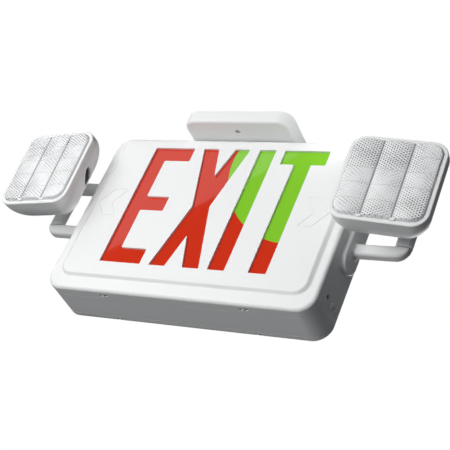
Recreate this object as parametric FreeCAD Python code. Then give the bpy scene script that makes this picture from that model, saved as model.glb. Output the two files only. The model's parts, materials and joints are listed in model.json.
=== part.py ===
"""Combination emergency exit light: a lit exit sign with two adjustable lamp heads.

The frame has its origin at the centre of the ceiling plane that the canopy meets.
+Z is up, -Y is the way the legend faces and +X is to the right of someone reading it.
All sizes are millimetres.
"""
import FreeCAD, Part
import math
import os
from FreeCAD import Placement, Rotation, Vector

# ---------------------------------------------------------------- driving sizes
# canopy, the box that meets the ceiling
CANOPY_WIDTH = 124.0
CANOPY_DEPTH = 100.0
CANOPY_HEIGHT = 15.0
CANOPY_CORNER = 13.0
CANOPY_ROUND = 3.0
CANOPY_WALL = 2.2
PLATE_CLEARANCE = 3.8
PLATE_THICKNESS = 1.6
BOX_SCREW_SPACING = 88.9
BOX_SLOT_LENGTH = 8.0
BOX_SLOT_WIDTH = 4.6
WIRE_HOLE_SPACING = 44.0
WIRE_HOLE_RADIUS = 8.0
CANOPY_SCREW_SPACING = 70.0
CANOPY_SCREW_RADIUS = 1.75
CANOPY_SCREW_FLATS = 5.0
CANOPY_SCREW_WELL = 3.1
CANOPY_SCREW_HEAD = 2.0
CANOPY_SCREW_RECESS = 4.0
CANOPY_POST = 11.0

# hollow threaded nipple that hangs the housing from the canopy
NIPPLE_RADIUS = 5.0
NIPPLE_BORE = 3.8
NIPPLE_NUT_FLATS = 14.0
NIPPLE_NUT_THICKNESS = 3.0
NIPPLE_END = 2.0
NECK_SIZE = 26.0
NECK_HEIGHT = 2.0

# housing: face cover, frame and back cover
HOUSING_WIDTH = 304.0
HOUSING_HEIGHT = 202.0
HOUSING_DEPTH = 54.5
HOUSING_CORNER = 18.0
COVER_DEPTH = 16.0
BACK_COVER_DEPTH = 7.5
COVER_WALL = 2.2
FRAME_WALL = 3.6
PARTING_GAP = 0.3
LIP_LENGTH = 3.0
LIP_GAP = 0.15
RIM_ROUND = 3.6
BACK_EDGE = 1.6
PANEL_RAISE = 4.5
PANEL_SIDE_MARGIN = 13.2
PANEL_TOP_MARGIN = 5.6
PANEL_BOTTOM_MARGIN = 17.0
PANEL_CORNER = 12.0
PANEL_SIDE_SLOPE = 2.6
PANEL_END_SLOPE = 0.9

# light chamber behind the legend
LEGEND_SIDE_MARGIN = 7.8
LEGEND_END_MARGIN = 6.7
LEGEND_CORNER = 6.0
LEGEND_THICKNESS = 1.2
DIFFUSER_THICKNESS = 1.5
TRAY_WALL = 1.4
TRAY_BACK = 19.0
TRAY_INSET = 4.0
LED_BOARD_END_GAP = 12.6
LED_BOARD_WIDTH = 8.0
BOARD_THICKNESS = 1.6
CHIP_COUNT = 12
CHIP_SIZE = 3.5
CHIP_THICKNESS = 1.2
LUG_LENGTH = 28.0
LUG_HEIGHT = 12.0
LUG_THICKNESS = 4.0
LUG_SPREAD = 110.0

# battery, charger board and controls
CELL_DIAMETER = 23.0
CELL_LENGTH = 43.0
CELL_COUNT = 3
GROOVE_SHARE = 0.12
BATTERY_X = 72.0
BATTERY_DROP = 40.0
CLIP_WIDTH = 16.0
CLIP_THICKNESS = 1.2
CLIP_FOOT = 9.0
CHARGER_WIDTH = 108.0
CHARGER_HEIGHT = 72.0
CHARGER_X = -62.0
CHARGER_DROP = 40.0
CHARGER_POST = 7.0
CHARGER_POST_SIZE = 6.0
CHARGER_POST_INSET = 6.0
TRANSFORMER_WIDTH = 32.0
TRANSFORMER_HEIGHT = 27.0
TRANSFORMER_DEPTH = 17.0
RELAY_WIDTH = 20.0
RELAY_HEIGHT = 15.0
RELAY_DEPTH = 12.0
RELAY_EDGE = 0.8
TERMINAL_PITCH = 7.5
TERMINAL_COUNT = 4
TERMINAL_HEIGHT = 11.0
TERMINAL_DEPTH = 10.0
CAPACITOR_RADIUS = 5.0
CAPACITOR_LENGTH = 14.0
BUTTON_RADIUS = 2.9
BUTTON_PROUD = 1.6
BUTTON_TRAVEL = 1.2
BUTTON_EDGE = 0.5
BUTTON_DROP = 73.3
BUTTON_SETBACK = 36.6
SWITCH_BEZEL_RADIUS = 4.7
SWITCH_BEZEL = 0.8
SWITCH_BUSH_RADIUS = 3.9
SWITCH_BODY = 11.0
SWITCH_BODY_LENGTH = 13.0
INDICATOR_DROP = 70.7
INDICATOR_SETBACK = 22.5
INDICATOR_RADIUS = 2.7
INDICATOR_FLANGE = 3.4
INDICATOR_FLANGE_THICKNESS = 2.0
INDICATOR_RECESS = 1.4

# fork bracket on each side wall
PAD_WIDTH = 29.6
PAD_HEIGHT = 111.0
PAD_THICKNESS = 5.0
PAD_EDGE = 1.8
PAD_CORNER = 14.0
FORK_RISE = 18.9
ARM_SPACING = 59.8
ARM_HEIGHT = 13.0
ARM_DEPTH = 11.0
ARM_EDGE = 2.0
ARM_END_ROUND = 12.6
ARM_OUTREACH = 7.0
PAN_REACH = 51.5
PAN_PIN_RADIUS = 2.5
PAN_PIN_BLIND = 8.0
BRACKET_SCREW_RADIUS = 2.0
BRACKET_SCREW_FLATS = 7.0
BRACKET_SCREW_HEAD = 2.2
BRACKET_SCREW_BITE = 3.6
BRACKET_SCREW_SPACING = 30.0

# swivel knuckle between the fork's arms
KNUCKLE_WIDTH = 15.5
KNUCKLE_DEPTH = 11.0
KNUCKLE_EDGE = 2.5
KNUCKLE_END_GAP = 0.35
TONGUE_THICKNESS = 10.0
TONGUE_RADIUS = 6.0
TONGUE_REACH = 22.5
TONGUE_INSET = 13.6
TONGUE_RISE = 9.9
TILT_PIN_RADIUS = 2.0

# lamp head
HEAD_SIZE = 95.0
HEAD_CORNER = 16.0
RIM_DEPTH = 8.0
RIM_LIP = 4.2
RIM_LIP_THICKNESS = 2.0
RIM_WALL = 2.0
RIM_FRONT_EDGE = 1.2
SHELL_DEPTH = 43.5
SHELL_WALL = 2.6
SHELL_BACK_SIZE = 28.0
DOME_SIDE_POWER = 1.5
DOME_END_POWER = 2.15
DOME_BANDS = 7
DOME_INNER_BANDS = 3
DOME_CORNER_SHARE = 0.55
CORNER_FLATS = 4
LENS_THICKNESS = 2.2
LENS_CROWN = 4.2
LENS_COLUMNS = 3
REFLECTOR_WALL = 1.2
REFLECTOR_REACH = 20.0
REFLECTOR_MOUTH = 80.0
REFLECTOR_THROAT = 20.0
REFLECTOR_CORNER = 11.0
LAMP_BOARD_SIZE = 30.0
EMITTER_SIZE = 12.0
EMITTER_THICKNESS = 1.0
PIVOT_DEPTH = 38.5
EAR_THICKNESS = 3.2
EAR_RADIUS = 5.4
SLOT_HALF_HEIGHT = 15.0

# how the heads stand at rest
REST_PAN = 6.7
REST_TILT = 2.8

# fits
RUNNING = 0.05
SEATED = 0.02
SIDE_PLAY = 0.35
DROP_IN = 0.2

# ---------------------------------------------------------------- worked-out places
FRONT = -HOUSING_DEPTH / 2
BACK = HOUSING_DEPTH / 2
RIM_PLANE = FRONT + PANEL_RAISE
COVER_END = FRONT + COVER_DEPTH
BACK_JOIN = BACK - BACK_COVER_DEPTH
FRAME_MIDDLE = (COVER_END + BACK_JOIN) / 2
HOUSING_TOP = -CANOPY_HEIGHT - NECK_HEIGHT
HOUSING_CENTRE = HOUSING_TOP - HOUSING_HEIGHT / 2
SIDE = HOUSING_WIDTH / 2
BACK_INSIDE = BACK - COVER_WALL

PANEL_WIDTH = HOUSING_WIDTH - 2 * PANEL_SIDE_MARGIN
PANEL_HEIGHT = HOUSING_HEIGHT - PANEL_TOP_MARGIN - PANEL_BOTTOM_MARGIN
PANEL_CENTRE = HOUSING_CENTRE + (PANEL_BOTTOM_MARGIN - PANEL_TOP_MARGIN) / 2

LEGEND_FRONT = FRONT + COVER_WALL
LEGEND_WIDTH = PANEL_WIDTH - 2 * LEGEND_SIDE_MARGIN
LEGEND_HEIGHT = PANEL_HEIGHT - 2 * LEGEND_END_MARGIN
LED_BOARD_LENGTH = LEGEND_WIDTH - 2 * (TRAY_INSET + TRAY_WALL + LED_BOARD_END_GAP)
DIFFUSER_FRONT = LEGEND_FRONT + LEGEND_THICKNESS
TRAY_FRONT = DIFFUSER_FRONT + DIFFUSER_THICKNESS
TRAY_REAR = FRONT + TRAY_BACK

FORK_CENTRE = HOUSING_CENTRE + FORK_RISE
PAN_X = SIDE + PAN_REACH
PAN_Y = FRAME_MIDDLE
ARM_END = PAN_X + ARM_OUTREACH
ARM_GAP = ARM_SPACING - ARM_HEIGHT
PLATE_WIDTH = CANOPY_WIDTH - 2 * (CANOPY_WALL + PLATE_CLEARANCE)
PLATE_DEPTH = CANOPY_DEPTH - 2 * (CANOPY_WALL + PLATE_CLEARANCE)
TONGUE_Z = FORK_CENTRE + TONGUE_RISE
TONGUE_SLOT = TONGUE_THICKNESS + 2 * SIDE_PLAY


QUARTER_TURN = math.pi / 2
FIRST_FLAT = 0.586
NEXT_FLAT = 0.25


# ---------------------------------------------------------------- basic forms
def radial(radius, angle):
    """Arm of a given length in the XZ plane, at an angle in radians from +X."""
    return Vector(radius * math.cos(angle), 0, radius * math.sin(angle))


def outline(width, height, radius, y, x=0.0, z=0.0):
    """Closed rounded rectangle in an XZ plane, always started and wound the same way."""
    a = width / 2
    b = height / 2
    r = min(radius, a - 0.01, b - 0.01)
    edges = []
    corners = []
    for index, (across, up) in enumerate(((1, 1), (-1, 1), (-1, -1), (1, -1))):
        centre = Vector(x + across * (a - r), y, z + up * (b - r))
        corners.append([centre + radial(r, QUARTER_TURN * (index + turn)) for turn in (0, 0.5, 1)])
    for index, points in enumerate(corners):
        edges.append(Part.Arc(*points).toShape())
        edges.append(Part.LineSegment(points[2], corners[(index + 1) % 4][0]).toShape())
    return Part.Wire(edges)


def slab(width, height, radius, y_from, y_to, x=0.0, z=0.0):
    """Rounded rectangular plate between two Y planes."""
    face = Part.Face(outline(width, height, radius, y_from, x, z))
    return face.extrude(Vector(0, y_to - y_from, 0))


def lying_slab(width, depth, radius, z_from, z_to):
    """Rounded rectangular plate between two Z planes."""
    plate = slab(width, depth, radius, z_from, z_to)
    plate.rotate(Vector(0, 0, 0), Vector(1, 0, 0), 90)
    return plate


def block(x_range, y_range, z_range):
    """Box between two limits on each axis."""
    size = [high - low for low, high in (x_range, y_range, z_range)]
    corner = Vector(x_range[0], y_range[0], z_range[0])
    return Part.makeBox(size[0], size[1], size[2], corner)


def rod(radius, start, end):
    """Cylinder from one point to another."""
    along = end - start
    return Part.makeCylinder(radius, along.Length, start, along)


def edges_where(shape, test):
    """Edges whose every vertex passes a test."""
    return [edge for edge in shape.Edges if all(test(vertex.Point) for vertex in edge.Vertexes)]


def at_level(axis, level):
    """Test that a point lies at one level of an axis."""
    return lambda point: abs(getattr(point, axis) - level) < 1e-6


def broken(shape, axis, level, size):
    """Break the edges at one level of an axis with a single flat."""
    return shape.makeChamfer(size, edges_where(shape, at_level(axis, level)))


def eased(shape, axis, level, radius, inward):
    """Round the edges at one level with three flats; inward is the sign that leads into the material."""
    first = FIRST_FLAT * radius
    shape = broken(shape, axis, level, first)
    for ring_level in (level, level + inward * first):
        shape = broken(shape, axis, ring_level, NEXT_FLAT * radius)
    return shape


def corner_ring(width, height, radius, y, z=0.0):
    """Points of a rounded rectangle whose corners are drawn with a few flats."""
    points = []
    for index, (across, up) in enumerate(((1, 1), (-1, 1), (-1, -1), (1, -1))):
        centre = Vector(across * (width / 2 - radius), y, z + up * (height / 2 - radius))
        for step in range(CORNER_FLATS + 1):
            points.append(centre + radial(radius, QUARTER_TURN * (index + step / CORNER_FLATS)))
    return points


def flat_loft(rings):
    """Closed solid of flat faces through rings of points."""
    faces = [Part.Face(Part.makePolygon(ring + ring[:1])) for ring in (rings[0], rings[-1])]
    for near, far in zip(rings, rings[1:]):
        for index, start in enumerate(near):
            after = (index + 1) % len(near)
            corners = [start, near[after], far[after], far[index], start]
            faces.append(Part.Face(Part.makePolygon(corners)))
    shell = Part.makeShell(faces)
    shell.sewShape()
    solid = Part.Solid(shell)
    if solid.Volume < 0:
        solid.reverse()
    return solid


def mirrored(shape):
    """The left-hand copy of a right-hand piece."""
    return shape.mirror(Vector(0, 0, 0), Vector(1, 0, 0))


def both_sides(name, shape):
    """A right-hand piece and its left-hand copy, as named nodes."""
    return {name + "_right": shape, name + "_left": mirrored(shape)}


def hexagon(across_flats, z_from, z_to):
    """Upright hexagonal prism on the Z axis."""
    radius = across_flats / math.sqrt(3)
    points = []
    for index in range(7):
        angle = math.radians(60 * index)
        points.append(Vector(radius * math.cos(angle), radius * math.sin(angle), z_from))
    return Part.Face(Part.makePolygon(points)).extrude(Vector(0, 0, z_to - z_from))


# ---------------------------------------------------------------- canopy
def screw_places():
    """Front and rear canopy screws, on the middle line."""
    return [Vector(0, sign * CANOPY_SCREW_SPACING / 2, 0) for sign in (-1, 1)]


def canopy_ring(inset, level):
    """Canopy's outline drawn in by an inset; its level becomes a height once the canopy is laid flat."""
    return corner_ring(CANOPY_WIDTH - 2 * inset, CANOPY_DEPTH - 2 * inset, CANOPY_CORNER - inset, level)


def canopy():
    """Open-topped ceiling cover with two screw posts and a central nipple hole."""
    low = -CANOPY_HEIGHT
    step = CANOPY_ROUND * NEXT_FLAT
    insets = ((CANOPY_ROUND, low), (step, low + step), (0, low + CANOPY_ROUND), (0, 0))
    body = flat_loft([canopy_ring(inset, level) for inset, level in insets])
    void = flat_loft([canopy_ring(CANOPY_WALL, level) for level in (low + CANOPY_WALL, 1)])
    body = body.cut(void)
    body.rotate(Vector(0, 0, 0), Vector(1, 0, 0), 90)
    floor = low + CANOPY_WALL
    for place in screw_places():
        half = CANOPY_POST / 2
        post = block((-half, half), (place.y - half, place.y + half), (floor, -PLATE_THICKNESS))
        hole = rod(CANOPY_SCREW_RADIUS + DROP_IN, place + Vector(0, 0, low - 1), place + Vector(0, 0, 1))
        recess = rod(CANOPY_SCREW_WELL, place + Vector(0, 0, low - 1),
                     place + Vector(0, 0, low + CANOPY_SCREW_RECESS))
        body = body.fuse(post).cut(hole).cut(recess)
    return body.cut(rod(NIPPLE_RADIUS + RUNNING, Vector(0, 0, low - 1), Vector(0, 0, floor + 1))).removeSplitter()


def mounting_plate():
    """Steel plate that is screwed to the ceiling box and carries the canopy."""
    plate = block((-PLATE_WIDTH / 2, PLATE_WIDTH / 2), (-PLATE_DEPTH / 2, PLATE_DEPTH / 2), (-PLATE_THICKNESS, 0))
    plate = plate.makeChamfer(CANOPY_CORNER / 2, [edge for edge in plate.Edges if edge.Length < 2 * PLATE_THICKNESS])
    for sign in (-1, 1):
        slot = lying_slab(BOX_SLOT_LENGTH, BOX_SLOT_WIDTH, BOX_SLOT_WIDTH / 2, -PLATE_THICKNESS - 1, 1)
        slot.translate(Vector(sign * BOX_SCREW_SPACING / 2, 0, 0))
        x = sign * WIRE_HOLE_SPACING / 2
        wires = rod(WIRE_HOLE_RADIUS, Vector(x, 0, -PLATE_THICKNESS - 1), Vector(x, 0, 1))
        plate = plate.cut(slot).cut(wires)
    for place in screw_places():
        tapped = rod(CANOPY_SCREW_RADIUS + SEATED, place + Vector(0, 0, -PLATE_THICKNESS - 1),
                     place + Vector(0, 0, 1))
        plate = plate.cut(tapped)
    return plate


def canopy_screws():
    """Two hexagon-head screws, up through the canopy's posts into the plate."""
    seat = -CANOPY_HEIGHT + CANOPY_SCREW_RECESS
    screws = []
    for place in screw_places():
        head = hexagon(CANOPY_SCREW_FLATS, seat - CANOPY_SCREW_HEAD, seat)
        head.translate(place)
        shank = rod(CANOPY_SCREW_RADIUS, place + Vector(0, 0, seat), place)
        screws.append(head.fuse(shank).removeSplitter())
    return Part.makeCompound(screws)


def neck_spacer():
    """Flat spacer between the canopy and the housing's top wall."""
    top = Vector(0, 0, -CANOPY_HEIGHT)
    low = Vector(0, 0, HOUSING_TOP)
    half = NECK_SIZE / 2
    body = block((-half, half), (-half, half), (low.z, top.z))
    body = body.makeChamfer(half / 3, [edge for edge in body.Edges if edge.Length < half])
    return body.cut(rod(NIPPLE_RADIUS + RUNNING, low - Vector(0, 0, 1), top + Vector(0, 0, 1)))


def nipple_span():
    """Lower and upper nut seats on the nipple."""
    return HOUSING_TOP - FRAME_WALL, -CANOPY_HEIGHT + CANOPY_WALL


def nipple():
    """Hollow threaded tube that hangs the housing and passes the supply wires."""
    low, high = nipple_span()
    reach = NIPPLE_NUT_THICKNESS + NIPPLE_END
    bottom = Vector(0, 0, low - reach)
    top = Vector(0, 0, high + reach)
    tube = rod(NIPPLE_RADIUS, bottom, top)
    return tube.cut(rod(NIPPLE_BORE, bottom - Vector(0, 0, 1), top + Vector(0, 0, 1)))


def nipple_nuts():
    """A locknut at each end of the nipple."""
    low, high = nipple_span()
    nuts = []
    for z_from, z_to in ((low - NIPPLE_NUT_THICKNESS, low), (high, high + NIPPLE_NUT_THICKNESS)):
        bore = rod(NIPPLE_RADIUS + SEATED, Vector(0, 0, z_from - 1), Vector(0, 0, z_to + 1))
        nuts.append(hexagon(NIPPLE_NUT_FLATS, z_from, z_to).cut(bore))
    return Part.makeCompound(nuts)


# ---------------------------------------------------------------- housing
def cover_form(inset):
    """Stepped face cover's form, drawn in by a wall thickness for its hollow."""
    rim = RIM_PLANE + inset
    end = COVER_END - PARTING_GAP + inset
    body = slab(HOUSING_WIDTH - 2 * inset, HOUSING_HEIGHT - 2 * inset, HOUSING_CORNER - inset,
                rim, end, z=HOUSING_CENTRE)
    body = eased(body, "y", rim, RIM_ROUND, 1) if inset == 0 else broken(body, "y", rim, RIM_ROUND - inset)
    width = PANEL_WIDTH - 2 * inset
    height = PANEL_HEIGHT - 2 * inset
    corner = PANEL_CORNER - inset
    face = corner_ring(width, height, corner, FRONT + inset, PANEL_CENTRE)
    foot = corner_ring(width + 2 * PANEL_SIDE_SLOPE, height + 2 * PANEL_END_SLOPE, corner, rim, PANEL_CENTRE)
    return body.fuse(flat_loft([face, foot])).removeSplitter()


def face_cover():
    """Thin moulded cover: a raised panel, a soft step and a skirt to the parting line."""
    return cover_form(0.0).cut(cover_form(COVER_WALL))


def bracket_screw_heights():
    """Heights of the two screws that hold each fork bracket."""
    return [FORK_CENTRE + sign * BRACKET_SCREW_SPACING / 2 for sign in (-1, 1)]


def button_place():
    """Middle of the test button, on the right wall's outer face."""
    return Vector(SIDE, FRONT + BUTTON_SETBACK, HOUSING_CENTRE - BUTTON_DROP)


def indicator_place():
    """Middle of the charge indicator, on the right wall's outer face."""
    return Vector(SIDE, FRONT + INDICATOR_SETBACK, HOUSING_CENTRE - INDICATOR_DROP)


def tray_lugs():
    """Four lugs on the frame's side walls that the light tray stands on."""
    lugs = []
    for side in (-1, 1):
        for level in (-1, 1):
            outer = side * (SIDE - FRAME_WALL / 2)
            inner = side * (SIDE - FRAME_WALL - LUG_LENGTH)
            z = PANEL_CENTRE + level * LUG_SPREAD / 2
            lugs.append(block((min(outer, inner), max(outer, inner)), (TRAY_REAR, TRAY_REAR + LUG_THICKNESS),
                              (z - LUG_HEIGHT / 2, z + LUG_HEIGHT / 2)))
    return lugs


def frame_prism(inset, y_from, y_to):
    """Prism inside the housing's outline, with corners of a few flats."""
    return flat_loft([corner_ring(HOUSING_WIDTH - 2 * inset, HOUSING_HEIGHT - 2 * inset, HOUSING_CORNER - inset,
                                  y, HOUSING_CENTRE) for y in (y_from, y_to)])


def housing_frame():
    """Middle ring of the housing, with a lip for each cover, lugs and wall holes."""
    frame = slab(HOUSING_WIDTH, HOUSING_HEIGHT, HOUSING_CORNER, COVER_END, BACK_JOIN, z=HOUSING_CENTRE)
    low, high = COVER_END - LIP_LENGTH, BACK_JOIN + LIP_LENGTH
    frame = frame.fuse(frame_prism(COVER_WALL + LIP_GAP, low, high))
    frame = frame.cut(frame_prism(FRAME_WALL, low - 1, high + 1)).fuse(tray_lugs())
    across = Vector(FRAME_WALL * 3, 0, 0)
    for side in (-1, 1):
        for z in bracket_screw_heights():
            wall = Vector(side * SIDE, PAN_Y, z)
            frame = frame.cut(rod(BRACKET_SCREW_RADIUS + DROP_IN, wall - across, wall + across))
    frame = frame.cut(rod(SWITCH_BUSH_RADIUS + RUNNING, button_place() - across, button_place() + across))
    frame = frame.cut(rod(INDICATOR_RADIUS + RUNNING, indicator_place() - across, indicator_place() + across))
    top = Vector(0, 0, HOUSING_TOP)
    hole = rod(NIPPLE_RADIUS + RUNNING, top - Vector(0, 0, 3 * FRAME_WALL), top + Vector(0, 0, 1))
    return frame.cut(hole).removeSplitter()


def charger_posts():
    """Corners of the charger board's four posts, on the back cover."""
    across = CHARGER_WIDTH / 2 - CHARGER_POST_INSET
    up = CHARGER_HEIGHT / 2 - CHARGER_POST_INSET
    centre = charger_centre()
    return [centre + Vector(a * across, 0, b * up) for a in (-1, 1) for b in (-1, 1)]


def charger_centre():
    """Middle of the charger board's rear face."""
    return Vector(CHARGER_X, BACK_INSIDE - CHARGER_POST, HOUSING_CENTRE - CHARGER_DROP)


def back_cover():
    """Shallow rear cover with board posts and two wall-box screw holes."""
    start = BACK_JOIN + PARTING_GAP
    body = slab(HOUSING_WIDTH, HOUSING_HEIGHT, HOUSING_CORNER, start, BACK, z=HOUSING_CENTRE)
    body = broken(body, "y", BACK, BACK_EDGE)
    void = slab(HOUSING_WIDTH - 2 * COVER_WALL, HOUSING_HEIGHT - 2 * COVER_WALL, HOUSING_CORNER - COVER_WALL,
                start - 1, BACK_INSIDE, z=HOUSING_CENTRE)
    body = body.cut(void)
    half = CHARGER_POST_SIZE / 2
    for corner in charger_posts():
        post = block((corner.x - half, corner.x + half), (corner.y, BACK_INSIDE + COVER_WALL / 2),
                     (corner.z - half, corner.z + half))
        body = body.fuse(post)
    for sign in (-1, 1):
        x = sign * BOX_SCREW_SPACING / 2
        z = HOUSING_CENTRE + HOUSING_HEIGHT / 4
        body = body.cut(rod(BOX_SLOT_WIDTH / 2, Vector(x, BACK_INSIDE - 1, z), Vector(x, BACK + 1, z)))
    return body.removeSplitter()


# ---------------------------------------------------------------- light chamber
def cut_sheet(width, height, y_from, y_to):
    """Sheet across the panel's middle with its four corners cut off."""
    sheet = block((-width / 2, width / 2), (y_from, y_to), (PANEL_CENTRE - height / 2, PANEL_CENTRE + height / 2))
    corners = edges_where(sheet, lambda p: True)
    return sheet.makeChamfer(LEGEND_CORNER, [edge for edge in corners if abs(edge.Length - abs(y_to - y_from)) < 1e-6])


def legend_panel():
    """Coloured translucent sheet behind the face."""
    return cut_sheet(LEGEND_WIDTH, LEGEND_HEIGHT, LEGEND_FRONT, DIFFUSER_FRONT)


def diffuser_sheet():
    """Opal sheet that evens out the light."""
    return cut_sheet(LEGEND_WIDTH, LEGEND_HEIGHT, DIFFUSER_FRONT, TRAY_FRONT)


def tray_size():
    """Outer width and height of the light tray."""
    return LEGEND_WIDTH - 2 * TRAY_INSET, LEGEND_HEIGHT - 2 * TRAY_INSET


def light_tray():
    """White tray that closes the light chamber and holds both LED boards."""
    width, height = tray_size()
    body = cut_sheet(width, height, TRAY_FRONT, TRAY_REAR)
    void = cut_sheet(width - 2 * TRAY_WALL, height - 2 * TRAY_WALL, TRAY_FRONT - 1, TRAY_REAR - TRAY_WALL)
    return body.cut(void)


def legend_led_board(level):
    """Narrow strip board with a row of chips, against the tray's top or bottom wall."""
    height = tray_size()[1]
    wall = PANEL_CENTRE + level * (height / 2 - TRAY_WALL)
    face = wall - level * BOARD_THICKNESS
    middle = (TRAY_FRONT + TRAY_REAR - TRAY_WALL) / 2
    board = block((-LED_BOARD_LENGTH / 2, LED_BOARD_LENGTH / 2),
                  (middle - LED_BOARD_WIDTH / 2, middle + LED_BOARD_WIDTH / 2),
                  (min(wall, face), max(wall, face)))
    chips = []
    pitch = LED_BOARD_LENGTH / CHIP_COUNT
    for index in range(CHIP_COUNT):
        x = (index - (CHIP_COUNT - 1) / 2) * pitch
        tip = face - level * CHIP_THICKNESS
        chips.append(block((x - CHIP_SIZE / 2, x + CHIP_SIZE / 2), (middle - CHIP_SIZE / 2, middle + CHIP_SIZE / 2),
                           (min(face, tip), max(face, tip))))
    return board.fuse(chips).removeSplitter()


# ---------------------------------------------------------------- battery and charger
def battery_size():
    """Width and height of the cell pack."""
    return CELL_DIAMETER * CELL_COUNT, CELL_LENGTH


def battery_centre():
    """Middle of the pack's rear face, on the back cover."""
    return Vector(BATTERY_X, BACK_INSIDE, HOUSING_CENTRE - BATTERY_DROP)


def battery_pack():
    """Shrink-wrapped pack of upright cells, side by side."""
    width, height = battery_size()
    centre = battery_centre()
    bottom = centre.z - height / 2
    body = lying_slab(width, CELL_DIAMETER, CELL_DIAMETER / 2, bottom, bottom + height)
    body.translate(Vector(centre.x, centre.y - CELL_DIAMETER / 2, 0))
    half = CELL_DIAMETER * GROOVE_SHARE
    for index in range(1, CELL_COUNT):
        x = centre.x - width / 2 + index * CELL_DIAMETER
        for y in (centre.y, centre.y - CELL_DIAMETER):
            wedge = block((x - half, x + half), (y - half, y + half), (bottom - 1, bottom + height + 1))
            wedge.rotate(Vector(x, y, 0), Vector(0, 0, 1), 45)
            body = body.cut(wedge)
    return body


def battery_clip():
    """Bent steel strap over the pack, with a foot each side on the back cover."""
    width, height = battery_size()
    centre = battery_centre()
    half = width / 2 + DROP_IN
    front = centre.y - CELL_DIAMETER - DROP_IN
    z_range = (centre.z - CLIP_WIDTH / 2, centre.z + CLIP_WIDTH / 2)
    outer = half + CLIP_THICKNESS
    radius = CELL_DIAMETER / 2 + DROP_IN + CLIP_THICKNESS
    strap = lying_slab(2 * outer, 2 * radius, radius, z_range[0], z_range[1])
    hollow = lying_slab(2 * half, 2 * (radius - CLIP_THICKNESS), radius - CLIP_THICKNESS,
                        z_range[0] - 1, z_range[1] + 1)
    strap = strap.cut(hollow)
    strap.translate(Vector(centre.x, front + radius - CLIP_THICKNESS, 0))
    strap = strap.common(block((centre.x - outer, centre.x + outer), (front - 2 * CLIP_THICKNESS, front + radius),
                               z_range))
    for side in (-1, 1):
        inner = centre.x + side * half
        wall = centre.x + side * outer
        tip = centre.x + side * (outer + CLIP_FOOT)
        middle = front + radius - CLIP_THICKNESS
        leg = block((min(inner, wall), max(inner, wall)), (middle, BACK_INSIDE), z_range)
        foot = block((min(inner, tip), max(inner, tip)), (BACK_INSIDE - CLIP_THICKNESS, BACK_INSIDE), z_range)
        strap = strap.fuse([leg, foot])
    return strap.removeSplitter()


def charger_board():
    """Circuit board on the back cover's four posts."""
    rear = charger_centre()
    return block((rear.x - CHARGER_WIDTH / 2, rear.x + CHARGER_WIDTH / 2), (rear.y - BOARD_THICKNESS, rear.y),
                 (rear.z - CHARGER_HEIGHT / 2, rear.z + CHARGER_HEIGHT / 2))


def on_board(width, height, depth, right, up):
    """Box-shaped component that stands on the charger board's front face."""
    rear = charger_centre()
    face = rear.y - BOARD_THICKNESS
    x = rear.x + right
    z = rear.z + up
    return block((x - width / 2, x + width / 2), (face - depth, face), (z - height / 2, z + height / 2))


def transformer():
    """Laminated transformer with its bobbin showing above and below the core."""
    right = -CHARGER_WIDTH / 4
    core = on_board(TRANSFORMER_WIDTH, TRANSFORMER_HEIGHT * 0.7, TRANSFORMER_DEPTH, right, 0)
    bobbin = on_board(TRANSFORMER_WIDTH * 0.6, TRANSFORMER_HEIGHT, TRANSFORMER_DEPTH * 0.8, right, 0)
    return core.fuse(bobbin).removeSplitter()


def transfer_relay():
    """Relay that switches the lamps to the battery."""
    body = on_board(RELAY_WIDTH, RELAY_HEIGHT, RELAY_DEPTH, CHARGER_WIDTH / 6, CHARGER_HEIGHT / 4)
    return broken(body, "y", body.BoundBox.YMin, RELAY_EDGE)


def terminal_block():
    """Supply terminals: a row of wells with a screw well in each."""
    width = TERMINAL_PITCH * TERMINAL_COUNT
    up = -CHARGER_HEIGHT / 2 + TERMINAL_HEIGHT
    body = on_board(width, TERMINAL_HEIGHT, TERMINAL_DEPTH, CHARGER_WIDTH / 8, up)
    box = body.BoundBox
    for index in range(TERMINAL_COUNT):
        x = box.XMin + (index + 0.5) * TERMINAL_PITCH
        z = (box.ZMin + box.ZMax) / 2
        half = TERMINAL_PITCH / 4
        well = block((x - half, x + half), (box.YMin - 1, box.YMin + TERMINAL_DEPTH / 2), (z - half, z + half))
        entry = block((x - TERMINAL_PITCH * 0.3, x + TERMINAL_PITCH * 0.3),
                      (box.YMax - TERMINAL_DEPTH * 0.45, box.YMax - TERMINAL_DEPTH * 0.1),
                      (box.ZMin - 1, box.ZMin + TERMINAL_HEIGHT / 4))
        body = body.cut(well).cut(entry)
    return body


def capacitors():
    """Two upright smoothing capacitors."""
    rear = charger_centre()
    face = rear.y - BOARD_THICKNESS
    cans = []
    for index in (0, 1):
        x = rear.x + CHARGER_WIDTH / 2 - CAPACITOR_RADIUS * (2.4 + 2.6 * index)
        foot = Vector(x, face, rear.z)
        cans.append(rod(CAPACITOR_RADIUS, foot, foot - Vector(0, CAPACITOR_LENGTH, 0)))
    return Part.makeCompound(cans)


# ---------------------------------------------------------------- controls on the right wall
def test_switch():
    """Panel switch: bezel outside, bush through the wall and body inside."""
    wall = button_place()
    out = Vector(1, 0, 0)
    bezel = rod(SWITCH_BEZEL_RADIUS, wall, wall + out * SWITCH_BEZEL)
    bush = rod(SWITCH_BUSH_RADIUS, wall - out * FRAME_WALL, wall)
    near = wall.x - FRAME_WALL
    body = block((near - SWITCH_BODY_LENGTH, near), (wall.y - SWITCH_BODY / 2, wall.y + SWITCH_BODY / 2),
                 (wall.z - SWITCH_BODY / 2, wall.z + SWITCH_BODY / 2))
    bore = rod(BUTTON_RADIUS + RUNNING, wall - out * (FRAME_WALL + SWITCH_BODY_LENGTH / 2), wall + out * 5)
    return body.fuse([bush, bezel]).cut(bore).removeSplitter()


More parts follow.
